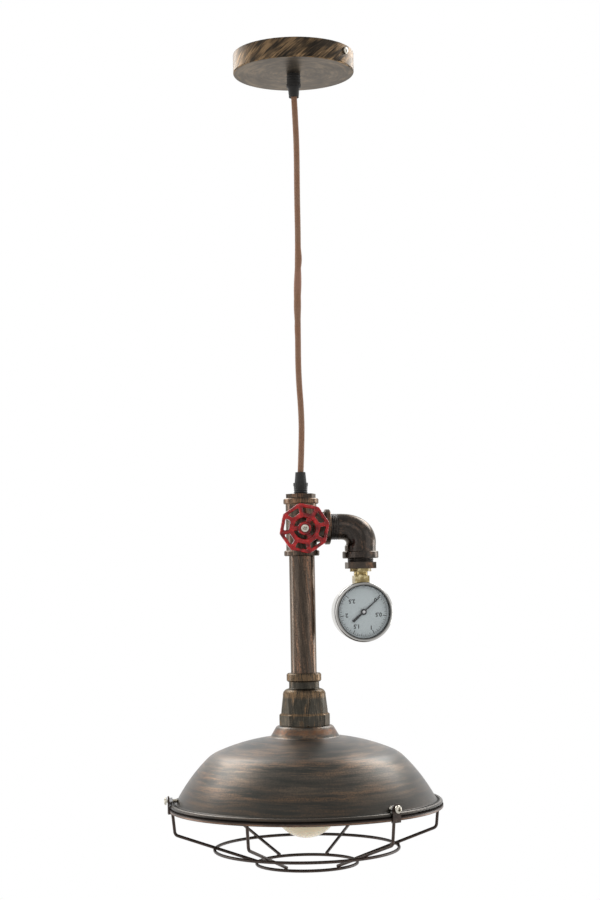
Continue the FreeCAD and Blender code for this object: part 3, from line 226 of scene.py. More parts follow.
class Graph:
    """A node tree, with short calls for its nodes."""

    def __init__(self, tree):
        self.nodes, self.links = tree.nodes, tree.links

    def feed(self, socket, value):
        """Links a socket or sets it; None leaves it as it is."""
        if isinstance(value, bpy.types.NodeSocket):
            self.links.new(value, socket)
        elif value is not None:
            needs_alpha = isinstance(value, tuple) and len(value) == 3 and len(socket.default_value) == 4
            socket.default_value = (*value, 1.0) if needs_alpha else value

    def node(self, kind, *inputs, out=0, **settings):
        """Output of a new node with these inputs and settings."""
        made = self.nodes.new("ShaderNode" + kind)
        for key, value in settings.items():
            setattr(made, key, value)
        for socket, value in zip(made.inputs, inputs):
            self.feed(socket, value)
        return made.outputs[out]

    def math(self, operation, *values):
        return self.node("Math", *values, operation=operation)

    def times(self, a, b):
        return self.math("MULTIPLY", a, b)

    def weighed(self, a, a_share, b, b_share):
        return self.math("ADD", self.times(a, a_share), self.times(b, b_share))

    def vector(self, operation, *values):
        out = "Value" if operation in ("DOT_PRODUCT", "LENGTH", "DISTANCE") else "Vector"
        return self.node("VectorMath", *values, out=out, operation=operation)

    def scaled(self, vector, factor):
        return self.vector("SCALE", vector, None, None, factor)

    def place(self):
        return self.node("TexCoord", out="Object")

    def noise(self, vector, scale=1.0, detail=3.0, roughness=0.6):
        return self.node("TexNoise", vector, None, scale, detail, roughness)

    def ramp(self, factor, *stops):
        """Colour ramp through (place, colour or number) stops."""
        made = self.nodes.new("ShaderNodeValToRGB")
        self.links.new(factor, made.inputs[0])
        elements = made.color_ramp.elements
        while len(elements) < len(stops):
            elements.new(0.5)
        for element, (place, colour) in zip(elements, stops):
            element.position = place
            colour = (colour,) * 3 if isinstance(colour, (int, float)) else colour
            element.color = (*colour, 1.0)
        return made.outputs[0]

    def rise(self, factor, start, end, most=1.0):
        """0 up to start, then rising to most at end."""
        return self.ramp(factor, (start, 0.0), (end, most))

    def mix(self, factor, a, b):
        """Colour between a and b."""
        return self.node("Mix", factor, *[None] * 5, a, b, out=2, data_type="RGBA")

    def between(self, factor, low, high):
        """Number between two limits."""
        return self.node("MapRange", factor, None, None, low, high)

    def eased(self, value, from_low, from_high, low, high):
        """Number moved from one range to another, smoothly and clamped."""
        return self.node("MapRange", value, from_low, from_high, low, high, interpolation_type="SMOOTHSTEP")

    def any_ray(self, *kinds):
        """1 for rays of any of these kinds, else 0."""
        path = self.nodes.new("ShaderNodeLightPath")
        total = path.outputs[kinds[0]]
        for kind in kinds[1:]:
            total = self.math("MAXIMUM", total, path.outputs[kind])
        return total

    def polar(self, centre=(0, 0, 0), u=X_AXIS, v=Y_AXIS, w=Z_AXIS):
        """Distance from an axis, the unit vector away from it, and the height along it."""
        place = self.vector("SUBTRACT", self.place(), tuple(centre))
        a, b, height = (self.vector("DOT_PRODUCT", place, tuple(axis)) for axis in (u, v, w))
        flat = self.node("CombineXYZ", a, b, 0.0)
        return self.vector("LENGTH", flat), self.vector("NORMALIZE", flat), height

    def swept(self, unit, around, step):
        """Coordinates that turn with a unit vector and move on with a step, for noise in streaks."""
        return self.vector("ADD", self.scaled(unit, around), self.node("CombineXYZ", 0.0, 0.0, step))

    def along(self, around, length, axis=None):
        """Coordinates whose noise runs in streaks along an axis."""
        _, unit, height = axis or self.polar()
        return self.swept(unit, around, self.times(height, length))

    def round(self, around, across, axis):
        """Coordinates whose noise runs in rings round an axis."""
        radius, unit, height = axis
        return self.swept(unit, around, self.times(self.math("SUBTRACT", radius, height), across))

    def twist(self, rate):
        """The lamp's axis, its unit vector turned with the height, so that streaks along it wind."""
        radius, unit, height = self.polar()
        turn = self.times(height, rate)
        return radius, self.node("VectorRotate", unit, (0, 0, 0), (0, 0, 1), turn), height

    def near(self, height, *bands):
        """1 in bands of height, each (middle, half its width) in millimetres, fading to 0 outside them."""
        total = 0.0
        for middle, half in bands:
            away = self.math("ABSOLUTE", self.math("SUBTRACT", height, middle * MM))
            close = self.math("SUBTRACT", 1.6, self.math("DIVIDE", away, half * MM))
            total = self.math("MAXIMUM", total, close)
        return self.math("MINIMUM", total, 1.0)


class Finish(Graph):
    """One procedural material, kept in FINISH under its name."""

    def __init__(self, name, **constants):
        FINISH[name] = bpy.data.materials.new(name)
        FINISH[name].use_nodes = True
        super().__init__(FINISH[name].node_tree)
        self.bsdf = self.nodes["Principled BSDF"]
        for key, value in constants.items():
            self.set(key.replace("_", " ").title().replace("Ior", "IOR"), value)

    def set(self, key, value):
        self.feed(self.bsdf.inputs[key], value)

    def bump(self, height, strength, distance):
        self.set("Normal", self.node("Bump", strength, distance, None, height))


BRONZE = ((0.018, 0.013, 0.009), (0.06, 0.041, 0.028), (0.185, 0.128, 0.09))
GOLD = (0.46, 0.27, 0.11)
EDGE_TINT = (0.72, 0.66, 0.58)
# Bands of height where bronze is rubbed, each (middle, half its width) in millimetres; the last two are bands of
# painted highlight on the shade's rolled edge and the guard's rim ring
CUP_CORNER = (-20.9, 0.55)
TEE_LIP = (-479.0, 2.8)
REDUCER_EDGES = ((-661.7, 3.4), (-678.5, 3.2), (-699.4, 0.9))
SHADE_COLLAR = (-716.6, 2.2)
ROLLED_EDGE_HIGHLIGHT = (-788.5, 0.3)
RING_EDGE_HIGHLIGHT = (-795.1, 0.55)


def bronze(name, streaks, patches, wear, copper, tones=BRONZE, rough=(0.26, 0.46), bump=0.12, grain=None, gilt=None,
           gilding=GOLD, coat=0.3, coat_rough=0.16, speckled=0.32):
    """Lacquered antique bronze: dark plating, brushed in streaks and rubbed through in places.

    streaks and patches give the coordinates of the fine and the broad noise; copper shows where the broad one
    passes wear, and gilt gives where edges are rubbed to gilding.
    """
    f = Finish(name, metallic=0.88, coat_weight=coat, coat_roughness=coat_rough, coat_ior=1.5,
               specular_tint=EDGE_TINT)
    patch = patches(f)
    strokes = f.noise(streaks(f))
    broad = f.noise(patch, 1.0, 2.0, 0.5)
    speckle = f.noise(f.place(), 1000.0, 2.0, 0.6)
    fine = f.weighed(strokes, 1.0 - speckled, speckle, speckled)
    tone = f.times(f.rise(fine, 0.36, 0.66), f.ramp(broad, (0.28, 0.35), (0.7, 1.0)))
    colour = f.ramp(tone, (0.0, tones[0]), (0.5, tones[1]), (1.0, tones[2]))
    thin = f.rise(f.noise(patch, 1.9, 2.0, 0.6), wear - 0.02, wear + 0.2, 0.9)
    colour = f.mix(f.times(f.rise(fine, 0.44, 0.62), thin), colour, copper)
    if gilt:
        colour = f.mix(f.times(gilt(f), f.rise(fine, 0.4, 0.62)), colour, gilding)
    f.set("Base Color", colour)
    f.set("Roughness", f.between(fine, *rough))
    if grain:
        fine = f.math("ADD", fine, f.times(1.5, f.noise(f.place(), grain)))
    f.bump(fine, bump, 0.0004)


def canopy_bronze():
    """Cup: diagonal strokes on its side, circling strokes on its underside, gold on the corner between."""
    f = Finish("canopy_bronze", metallic=0.9, coat_weight=0.08, coat_roughness=0.3, coat_ior=1.4,
               specular_tint=(0.82, 0.78, 0.74))
    radius, unit, height = f.polar()
    lean = f.twist(-19.0)[1]
    rise = f.times(height, 70.0)
    fine_side = f.noise(f.swept(lean, 31.0, rise), 1.0, 5.0, 0.7)
    side_patch = f.noise(f.swept(lean, 5.5, rise), 1.0, 2.0, 0.5)
    side = f.ramp(fine_side, (0.34, (0.01, 0.008, 0.006)), (0.56, (0.026, 0.02, 0.014)),
                  (0.74, (0.085, 0.06, 0.038)))
    gold = f.times(f.rise(fine_side, 0.4, 0.66, 0.85), f.ramp(side_patch, (0.42, 0.05), (0.62, 1.0)))
    side = f.mix(gold, side, (0.28, 0.175, 0.088))
    fine_under = f.noise(f.swept(unit, 3.2, f.times(radius, 330.0)), 1.0, 4.0, 0.6)
    cloud = f.noise(f.swept(unit, 1.6, f.times(radius, 60.0)))
    under = f.ramp(f.weighed(fine_under, 0.55, cloud, 0.45), (0.4, (0.07, 0.06, 0.048)),
                   (0.5, (0.12, 0.1, 0.077)), (0.6, (0.21, 0.168, 0.122)))
    flecks = f.times(f.rise(fine_under, 0.52, 0.64),
                     f.rise(f.noise(f.scaled(f.place(), 45.0), 1.0, 2.0, 0.55), 0.52, 0.66, 0.35))
    under = f.mix(flecks, under, (0.3, 0.2, 0.115))
    is_side = f.rise(f.math("ADD", f.times(height, 250.0), 5.5), 0.27, 0.4)
    colour = f.mix(is_side, under, side)
    corner = f.times(f.near(height, CUP_CORNER), f.rise(radius, 0.0625, 0.0635))
    rubbed = f.rise(f.noise(f.scaled(unit, 9.0)), 0.45, 0.62)
    f.set("Base Color", f.mix(f.times(corner, rubbed), colour, GOLD))
    fine = f.mix(is_side, fine_under, fine_side)
    f.set("Roughness", f.between(fine, 0.28, 0.5))
    f.bump(fine, 0.2, 0.0003)


def shade_bronze():
    """Dome: long soft strokes round it over a fine grain, and copper where the plating is thin, most at the front
    left and on its collar. Painted shade lies in the groove inside its rolled edge, over the lower half of that edge
    and towards the rim, and a painted highlight lies on top of that edge."""
    f = Finish("shade_bronze", metallic=0.88, coat_weight=0.25, coat_roughness=0.32, coat_ior=1.5)
    radius, unit, height = f.polar()
    down = f.math("SUBTRACT", radius, height)
    wander = f.noise(f.scaled(f.place(), 9.0), 1.0, 1.0, 0.5)
    step = f.weighed(down, 300.0, wander, 3.0)

    def strokes(around, across, detail, offset):
        return f.noise(f.swept(unit, around, f.math("ADD", f.times(step, across), offset)), 1.0, detail, 0.55)

    clouds, lines, hairs = strokes(1.4, 0.22, 2.0, 0.0), strokes(2.6, 0.7, 3.0, 40.0), strokes(7.0, 3.0, 2.0, 80.0)
    grain = f.noise(f.place(), 620.0, 3.0, 0.65)
    patches = f.noise(f.swept(unit, 1.3, f.times(down, 17.0)), 1.0, 2.0, 0.5)
    texture = f.weighed(hairs, 0.45, grain, 0.55)
    tone = f.math("ADD", f.times(clouds, 0.45), f.weighed(lines, 0.2, texture, 0.35))
    colour = f.ramp(tone, (0.4, (0.026, 0.027, 0.022)), (0.5, (0.058, 0.05, 0.04)),
                    (0.6, (0.13, 0.098, 0.07)))
    facing = f.vector("DOT_PRODUCT", unit, (-0.42, -0.91, 0.0))
    worn = f.ramp(f.math("ADD", patches, f.rise(facing, 0.35, 0.98, 0.16)), (0.52, 0.12), (0.72, 1.0))
    copper = f.times(f.rise(lines, 0.42, 0.66, 0.75), worn)
    copper = f.times(copper, f.ramp(texture, (0.42, 0.15), (0.58, 1.0)))
    colour = f.mix(copper, colour, (0.27, 0.145, 0.072))
    band = f.times(f.near(height, SHADE_COLLAR), f.ramp(radius, (0.037, 1.0), (0.0385, 0.0)))
    collar = f.times(band, f.ramp(f.noise(f.along(7.0, 330.0)), (0.38, 0.25), (0.6, 1.0)))
    colour = f.mix(collar, colour, (0.135, 0.062, 0.03))
    # painted highlight: a pale line along the top of the shade's rolled edge
    edge = f.times(f.near(height, ROLLED_EDGE_HIGHLIGHT), f.rise(radius, 0.1384, 0.1388, 0.75))
    colour = f.mix(edge, colour, (0.32, 0.28, 0.23))
    # painted shade: the skirt turns darker towards its rim
    colour = f.mix(f.rise(radius, 0.108, 0.132, 0.7), colour, (0.022, 0.02, 0.016))
    # painted shade in the groove between the skirt and the rolled edge, and over the lower half of that edge
    groove = f.ramp(f.times(f.math("SUBTRACT", radius, 0.13), 100.0),
                    (0.5, 0.0), (0.58, 0.8), (0.8, 0.8), (0.86, 0.0))
    under = f.rise(f.times(height, -1.0), 0.7899, 0.7911)
    painted_shade = f.math("MAXIMUM", groove, under)
    f.set("Base Color", f.mix(painted_shade, colour, (0.006, 0.005, 0.004)))
    f.set("Roughness", f.math("MAXIMUM", f.between(texture, 0.34, 0.5), f.times(painted_shade, 0.85)))
    f.set("Coat Weight", f.between(painted_shade, 0.3, 0.0))
    f.bump(texture, 0.16, 0.0004)


def ring_bronze():
    """Guard's rim ring: painted shade where it meets the shade, and a painted highlight, a brown line broken by
    noise, along its lower edge.
    """
    f = Finish("ring_bronze", metallic=0.75, coat_weight=0.1, coat_roughness=0.3, coat_ior=1.5)
    axis = f.polar()
    height = axis[2]
    highlight_noise = f.noise(f.along(9.0, 500.0, axis))
    grain = f.noise(f.place(), 400.0)
    colour = f.ramp(grain, (0.3, (0.016, 0.012, 0.01)), (0.7, (0.046, 0.032, 0.025)))
    # painted highlight: a brown line along the ring's lower edge, broken by noise
    line = f.times(f.near(height, RING_EDGE_HIGHLIGHT), f.ramp(highlight_noise, (0.35, 0.15), (0.6, 1.0)))
    colour = f.mix(line, colour, (0.19, 0.112, 0.072))
    shadow = f.rise(f.times(f.math("ADD", height, 0.7941), 1000.0), 0.2, 1.0)
    f.set("Base Color", f.mix(shadow, colour, (0.02, 0.013, 0.01)))
    f.set("Roughness", f.math("MAXIMUM", f.between(grain, 0.34, 0.5), f.times(shadow, 0.9)))
    f.set("Coat Weight", f.between(shadow, 0.1, 0.0))
    f.bump(grain, 0.15, 0.0002)


def plain(name, colour, other, scale, roughness=(0.35, 0.5), bump=0.08, **constants):
    """Two close tones mixed by fine noise, with roughness and bump from the same noise."""
    f = Finish(name, **constants)
    grain = f.noise(f.place(), scale)
    f.set("Base Color", f.ramp(grain, (0.3, colour), (0.7, other)))
    f.set("Roughness", f.between(grain, *roughness))
    f.bump(grain, bump, 0.0002)


def machined(name, colour, other, across, roughness, painted_shade_stops=None):
    """Steel of the gauge, turned on a lathe: fine rings round its axis, with painted shade by radius where stops are
    given.
    """
    f = Finish(name, metallic=1.0)
    axis = f.polar(GAUGE_CENTRE, GAUGE_RIGHT, Z_AXIS, GAUGE_NORMAL)
    rings = f.noise(f.round(1.5, across, axis))
    tint = f.ramp(rings, (0.3, colour), (0.7, other))
    # painted shade: a near-black ring by radius
    if painted_shade_stops:
        tint = f.mix(f.ramp(f.math("DIVIDE", axis[0], 0.1), *painted_shade_stops), (0.015, 0.015, 0.015), tint)
    f.set("Base Color", tint)
    f.set("Roughness", f.between(rings, *roughness))
    f.bump(rings, 0.05, 0.0001)


def red_enamel():
    """Thick glossy red enamel on a rough casting, thin over the edges, with painted shade darkening it towards the
    back of its hollows.
    """
    f = Finish("red_enamel", coat_weight=0.7, coat_roughness=0.05, coat_ior=1.4, specular_ior_level=0.1)
    broad = f.noise(f.place(), 150.0, 3.0, 0.55)
    fine = f.noise(f.place(), 700.0)
    height = f.polar((0, 0, SPINDLE_Z * MM), X_AXIS, Z_AXIS, -Y_AXIS)[2]
    # painted shade: the red darkens the further a point lies behind the wheel's front
    depth = f.rise(f.times(f.math("SUBTRACT", height, 0.026), 80.0), 0.1, 0.6)
    red = f.ramp(broad, (0.36, (0.1, 0.003, 0.004)), (0.6, (0.38, 0.01, 0.011)), (0.74, (0.56, 0.024, 0.02)))
    dark = f.mix(depth, (0.026, 0.002, 0.003), red)
    chips = f.rise(f.noise(f.place(), 260.0, 4.0, 0.7), 0.7, 0.75)
    f.set("Base Color", f.mix(chips, dark, (0.06, 0.02, 0.016)))
    f.set("Roughness", f.between(broad, 0.2, 0.34))
    f.bump(f.math("ADD", broad, f.times(fine, 0.2)), 0.5, 0.001)


def cord_braid():
    """Brown textile braid, with painted shade between its threads, and a little pinker over the knot."""
    f = Finish("cord_braid", roughness=0.85, sheen_weight=0.12, sheen_roughness=0.5)
    raised = f.node("Attribute", out="Fac", attribute_name="thread")
    yarn = f.noise(f.place(), 900.0)
    wear = f.noise(f.place(), 45.0, 2.0, 0.5)
    colour = f.mix(yarn, (0.18, 0.082, 0.043), (0.285, 0.148, 0.082))
    colour = f.mix(f.rise(wear, 0.35, 0.7, 0.5), colour, (0.24, 0.15, 0.1))
    colour = f.mix(f.times(f.near(f.polar()[2], (PINK_Z, 10.0)), 0.45), colour, (0.33, 0.165, 0.12))
    # painted shade between the threads, following the braid's relief
    f.set("Base Color", f.mix(f.rise(raised, 0.0, 0.6), (0.045, 0.022, 0.013), colour))
    f.bump(yarn, 0.35, 0.0002)


def clear_window():
    """Flat gauge glass: clear, with a reflection that grows towards its edge."""
    f = Finish("clear_window", base_color=(1.0, 1.0, 1.0), roughness=0.03, ior=1.5)
    facing = f.node("LayerWeight", 0.35, out="Facing")
    dust = f.noise(f.place(), 220.0, 4.0, 0.6)
    f.set("Alpha", f.math("ADD", f.between(facing, 0.008, 0.5), f.between(dust, 0.0, 0.012)))


def opal_glass():
    """Cream opal bulb with a soft gloss."""
    f = Finish("opal_glass", subsurface_weight=0.1, subsurface_scale=0.004, coat_weight=0.5, coat_roughness=0.1)
    cloud = f.noise(f.place(), 40.0, 2.0, 0.5)
    f.set("Base Color", f.ramp(cloud, (0.3, (0.55, 0.45, 0.285)), (0.7, (0.63, 0.525, 0.35))))
    f.set("Roughness", f.between(cloud, 0.28, 0.36))


def brass():
    """Brass with turning rings round the stem and a warm tone, darker where it is tarnished."""
    f = Finish("brass", metallic=1.0)
    rings = f.noise(f.round(1.2, 2600.0, f.polar((ELBOW_X * MM, 0, 0))))
    tone = f.noise(f.place(), 230.0)
    f.set("Base Color", f.ramp(tone, (0.34, (0.24, 0.185, 0.088)), (0.52, (0.38, 0.3, 0.145)),
                               (0.68, (0.8, 0.69, 0.42))))
    f.set("Roughness", f.between(rings, 0.16, 0.34))
    f.bump(rings, 0.12, 0.0002)


def bend_streaks(f):
    """Streaks that run along the elbow's bend."""
    centre = ((ELBOW_X - ELBOW_BEND) * MM, 0, (TEE_Z - ELBOW_BEND) * MM)
    return f.round(5.0, 640.0, f.polar(centre, X_AXIS, Z_AXIS, Y_AXIS))


def make_finishes():
    """Every finish of the lamp, kept in FINISH."""
    canopy_bronze()
    bronze("pipe_bronze", lambda f: f.along(17.0, 62.0, f.twist(7.8)), lambda f: f.along(2.4, 8.0, f.twist(7.8)),
           0.5, (0.29, 0.126, 0.058), ((0.023, 0.017, 0.012), (0.082, 0.058, 0.041), (0.27, 0.195, 0.142)),
           rough=(0.24, 0.42), speckled=0.45)
    bronze("reducer_bronze", lambda f: f.along(26.0, 75.0), lambda f: f.along(3.0, 40.0),
           0.57, (0.24, 0.135, 0.065), ((0.018, 0.017, 0.013), (0.05, 0.044, 0.034), (0.19, 0.15, 0.108)),
           rough=(0.34, 0.52), coat=0.15, gilding=(0.27, 0.155, 0.07),
           gilt=lambda f: f.times(0.6, f.near(f.polar()[2], *REDUCER_EDGES)))
    casting = (lambda f: f.along(15.0, 70.0), lambda f: f.scaled(f.place(), 60.0), 0.54, (0.26, 0.115, 0.055))
    bronze("cast_bronze", *casting, bump=0.2, grain=900.0)
    bronze("tee_bronze", *casting, bump=0.2, grain=900.0, gilt=lambda f: f.near(f.polar()[2], TEE_LIP),
           gilding=(0.21, 0.112, 0.056))
    bronze("elbow_bronze", bend_streaks, lambda f: f.scaled(f.place(), 36.0),
           0.54, (0.16, 0.084, 0.046), ((0.012, 0.009, 0.007), (0.027, 0.019, 0.014), (0.085, 0.058, 0.042)),
           rough=(0.2, 0.36), bump=0.1, grain=500.0, coat=0.45, coat_rough=0.2)
    shade_bronze()
    ring_bronze()
    plain("guard_bronze", (0.02, 0.014, 0.011), (0.066, 0.043, 0.033), 260.0, (0.4, 0.6), 0.15, metallic=0.7,
          coat_weight=0.15, coat_roughness=0.3)
    plain("thread_bronze", (0.012, 0.01, 0.009), (0.05, 0.042, 0.036), 500.0, (0.3, 0.5), 0.2, metallic=0.85)
    red_enamel()
    cord_braid()
    plain("cord_inner", (0.17, 0.09, 0.06), (0.24, 0.14, 0.1), 800.0, (0.8, 0.9), 0.3)
    plain("black_plastic", (0.008, 0.0075, 0.007), (0.018, 0.0165, 0.0155), 900.0, (0.42, 0.56), 0.12,
          specular_ior_level=0.3)
    plain("white_plastic", (0.7, 0.69, 0.64), (0.78, 0.77, 0.73), 400.0, (0.4, 0.5))
    plain("core_insulation", (0.2, 0.07, 0.03), (0.26, 0.1, 0.05), 500.0, (0.35, 0.45))
    plain("plain_steel", (0.42, 0.42, 0.43), (0.62, 0.62, 0.61), 320.0, (0.25, 0.42), metallic=1.0)
    plain("silver_screw", (0.36, 0.335, 0.285), (0.6, 0.57, 0.5), 700.0, (0.16, 0.3), 0.06, metallic=1.0)
    # the bezel's inner edge gets a ring of painted shade next to the dial
    machined("bezel_steel", (0.36, 0.35, 0.33), (0.56, 0.55, 0.53), 3000.0, (0.07, 0.16),
             ((0.276, 0.0), (0.292, 0.75), (0.306, 1.0)))
    machined("case_steel", (0.6, 0.59, 0.56), (0.76, 0.75, 0.72), 1800.0, (0.2, 0.34))
    brass()
    plain("dial_face", (0.5, 0.555, 0.565), (0.55, 0.605, 0.615), 380.0, (0.5, 0.6), 0.03)
    plain("print_black", (0.01, 0.012, 0.014), (0.022, 0.025, 0.028), 900.0, (0.5, 0.65), 0.02)
    plain("pointer_black", (0.006, 0.007, 0.008), (0.014, 0.016, 0.018), 600.0, (0.45, 0.55), 0.04,
          specular_ior_level=0.3)
    clear_window()
    opal_glass()


make_finishes()

# CAD nodes that get each finish; the screws and the cord are replaced further down
CAD_NODES = {
    "canopy_bronze": "canopy_cover",
    "pipe_bronze": "drop_pipe",
    "tee_bronze": "pipe_tee",
    "elbow_bronze": "street_elbow",
    "reducer_bronze": "reducing_socket",
    "shade_bronze": "lamp_shade",
    "cast_bronze": "top_bushing packing_nut gauge_bushing",
    "guard_bronze": "guard_rim_ring guard_leg_wires guard_middle_ring guard_bottom_ring guard_clamps",
    "red_enamel": "handwheel",
    "brass": "gauge_socket gauge_movement bourdon_tube socket_shell socket_contact",
    "case_steel": "gauge_case",
    "bezel_steel": "gauge_bezel",
    "clear_window": "gauge_window",
    "dial_face": "gauge_dial",
    "pointer_black": "gauge_pointer",
    "opal_glass": "bulb_glass",
    "black_plastic": "canopy_gland_cap canopy_gland_body canopy_gland_locknut lamp_gland_cap lamp_gland_body "
                     "lampholder holder_ring",
    "white_plastic": "terminal_block",
    "core_insulation": "canopy_leads",
    "cord_inner": "canopy_cord_tail lamp_cable",
    "plain_steel": "ceiling_bracket wheel_spindle bridge_washer holder_nipple nipple_nuts bulb_cap clamp_nuts",
}


def finish_nodes():
    """Gives every CAD node its material."""
    for finish, names in CAD_NODES.items():
        for name in names.split():
            if not nodes[name].material_slots:
                nodes[name].data.materials.append(None)
            for slot in nodes[name].material_slots:
                slot.material = FINISH[finish]


finish_nodes()


# Cord: a braided sleeve that follows its NURBS route

BRAID_THREADS = 10
BRAID_PITCH = 3.4
BRAID_RELIEF = 0.34
BRAID_CREST = 3.22
RING_POINTS = 60
RING_STEP = 0.5
END_RINGS = 4


def cord_centreline():
    """Points of the smooth line that the route's points control, read from a curve with no bevel."""
    curve = bpy.data.curves.new("cord_route", "CURVE")
    curve.dimensions, curve.resolution_u = "3D", 64
    spline = curve.splines.new("NURBS")
    spline.points.add(len(CORD_ROUTE) - 1)
    for point, (x, y, drop) in zip(spline.points, CORD_ROUTE):
        point.co = (x * MM, y * MM, (UPPER_PIVOT_Z - drop) * MM, 1.0)
    spline.order_u, spline.use_endpoint_u = 3, True
    return [vertex.co.copy() for vertex in evaluated(in_scene("cord_route", curve)).vertices]


def evenly(points, step):
    """Points at equal steps along a line."""
    lengths = [0.0]
    for before, after in zip(points, points[1:]):
        lengths.append(lengths[-1] + (after - before).length)
    count = round(lengths[-1] / step)
    out, index = [], 0
    for number in range(count + 1):
        want = lengths[-1] * number / count
        while index < len(points) - 2 and lengths[index + 1] < want:
            index += 1
        share = (want - lengths[index]) / (lengths[index + 1] - lengths[index])
        out.append(points[index].lerp(points[index + 1], share))
    return out


def braid_height(around, length):
    """Relief of a plain braid, 0 between its threads to 1 on them."""
    first = around * BRAID_THREADS + length / BRAID_PITCH
    second = around * BRAID_THREADS - length / BRAID_PITCH
    over = (math.floor(first) + math.floor(second)) % 2 == 0
    across = (first if over else second) % 1.0
    along = (second if over else first) % 1.0
    return math.sin(math.pi * across) ** 0.6 * (0.72 + 0.28 * math.sin(math.pi * along))


def cord_swell(z, angle):
    """How far the cord bulges over a knot in its cores, at a height and an angle round it."""
    swell = 0.0
    for middle, half, most, side in KNOTS:
        if abs(z - middle) < half:
            lean = 0.55 + 0.45 * math.cos(angle - side)
            swell = max(swell, most * lean * math.cos(math.pi / 2 * (z - middle) / half) ** 2)
    return swell


def hanging_cord():
    """Braided cord between the two glands, closed by a rounded end in each."""
    line = evenly(cord_centreline(), RING_STEP * MM)
    turns = [math.pi / 2 * index / (END_RINGS + 1) for index in range(1, END_RINGS + 1)]
    stations = [(line[0], line[1] - line[0], -turn, 0.0) for turn in reversed(turns)]
    for index, point in enumerate(line):
        before, after = line[max(index - 1, 0)], line[min(index + 1, len(line) - 1)]
        stations.append((point, after - before, 0.0, index * RING_STEP))
    stations += [(line[-1], line[-1] - line[-2], turn, len(line) * RING_STEP) for turn in turns]
    rings, heights = [], []
    for middle, direction, turn, length in stations:
        tangent = direction.normalized()
        centre = middle + tangent * math.sin(turn) * CORD_RADIUS * MM
        u = Y_AXIS.cross(tangent).normalized()
        v = tangent.cross(u)
        ring = []
        for side in range(RING_POINTS):
            share = side / RING_POINTS
            angle = 2 * math.pi * share
            heights.append(braid_height(share, length))
            out = BRAID_CREST - BRAID_RELIEF * (1.0 - heights[-1]) + cord_swell(centre.z / MM, angle)
            radius = out * math.cos(turn) * MM
            ring.append(centre + u * radius * math.cos(angle) + v * radius * math.sin(angle))
        rings.append(ring)
    mesh = skin("cord_sleeve", rings, "capped")
    thread = mesh.attributes.new("thread", "FLOAT", "POINT")
    thread.data.foreach_set("value", heights)
    sleeve = add_object("cord_sleeve", mesh, "cord", "cord_braid")
    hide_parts("hanging_cord")


hanging_cord()


# Screws with a cross recess, their seats (radius, height) in millimetres

CANOPY_SCREW_SEAT = (64.5, -6.5)
CLAMP_SCREW_SEAT = (144.9, -784.64)
WHEEL_SCREW_Y = -37.5
CLAMP_SCREW_TIP = -12.9


def cross_arm(width, reach, depth, top):
    """One tapered arm that cuts a screw's recess downwards from height top, in millimetres."""
    half = width / 2
    upper = [(-reach, -half), (reach, -half), (reach, half), (-reach, half)]
    lower = [(x * 0.3, y * 0.7) for x, y in upper]
    points = [Vector((x, y, top + 0.5)) * MM for x, y in upper]
    points += [Vector((x, y, top - depth)) * MM for x, y in lower]
    faces = [[0, 1, 2, 3], [7, 6, 5, 4]] + [[i, i + 4, (i + 1) % 4 + 4, (i + 1) % 4] for i in range(4)]
    return mesh_from("arm", points, faces, False)


def turned(mesh, angle):
    """Mesh turned about Z, in degrees."""
    mesh.transform(Matrix.Rotation(math.radians(angle), 4, Z_AXIS))
    return mesh


def without(mesh, cutter, name):
    """Mesh with another mesh cut out of it."""
    holder, tool = in_scene(name, mesh), in_scene(name + "_tool", cutter)
    cut = holder.modifiers.new("cut", "BOOLEAN")
    cut.object, cut.operation, cut.solver = tool, "DIFFERENCE", "EXACT"
    result = evaluated(holder)
    bpy.data.objects.remove(tool)
    return set_smooth(result, False)


def pan_screw(name, head_radius, head_height, shank, recess_turn, arm=0.3):
    """Pan-head screw along +Z, its head's underside at z = 0.

    shank is (radius, height) points below the head, and arm the width of the recess as a share of its radius.
    """
    dome = []
    for step in range(9):
        angle = math.pi / 2 * step / 8
        edge = head_radius * 0.62 + head_radius * 0.38 * math.cos(angle)
        dome.append((edge, head_height * (0.3 + 0.55 * math.sin(angle))))
    dome.append((head_radius * 0.35, head_height * 0.97))
    profile = [(0, shank[0][1])] + shank + [(shank[-1][0], 0), (head_radius, 0)] + dome + [(0, head_height)]
    body = lathe(name, profile, sides=40)
    for turn in (0.0, 90.0):
        tool = turned(cross_arm(head_radius * arm, head_radius * 0.62, head_height * 0.85, head_height), turn)
        body = without(body, turned(tool, recess_turn), name)
    return body


def shade_smoothly(mesh):
    """Smooth faces, with edges sharper than 40 degrees left sharp."""
    set_smooth(mesh, True).set_sharp_from_angle(angle=math.radians(40.0))
    return mesh


def thread_profile(low, high, root):
    """Zigzag (radius, height) points of a metric thread of 4 mm."""
    crest, pitch = 2.0, 0.7
    points = [(root, low)]
    height = low
    while height + pitch <= high + 1e-6:
        points += [(crest, height + pitch * 0.45), (crest, height + pitch * 0.55), (root, height + pitch)]
        height += pitch
    return points


def add_screws(name, screw, seats, body):
    """One object from copies of a screw, each laid along a direction with its origin at a place in metres."""
    copies = []
    for direction, seat in seats:
        copies.append(screw.copy())
        turn = Matrix(axes_for(direction)).transposed().to_4x4()
        copies[-1].transform(Matrix.Translation(Vector(seat)) @ turn)
    return add_object(name, shade_smoothly(joined(name, copies)), body, "silver_screw")


def canopy_screws():
    """Two side screws of the cup."""
    screw = pan_screw("canopy_screw", 3.7, 2.4, thread_profile(-8.0, -1.2, 1.75), 20.0)
    seats = [(outward(angle), beside(angle, *CANOPY_SCREW_SEAT)) for angle in (BRACKET_ANGLE, BRACKET_ANGLE + 180)]
    made = add_screws("canopy_cross_screws", screw, seats, "ceiling_mount")
    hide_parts("canopy_screws")


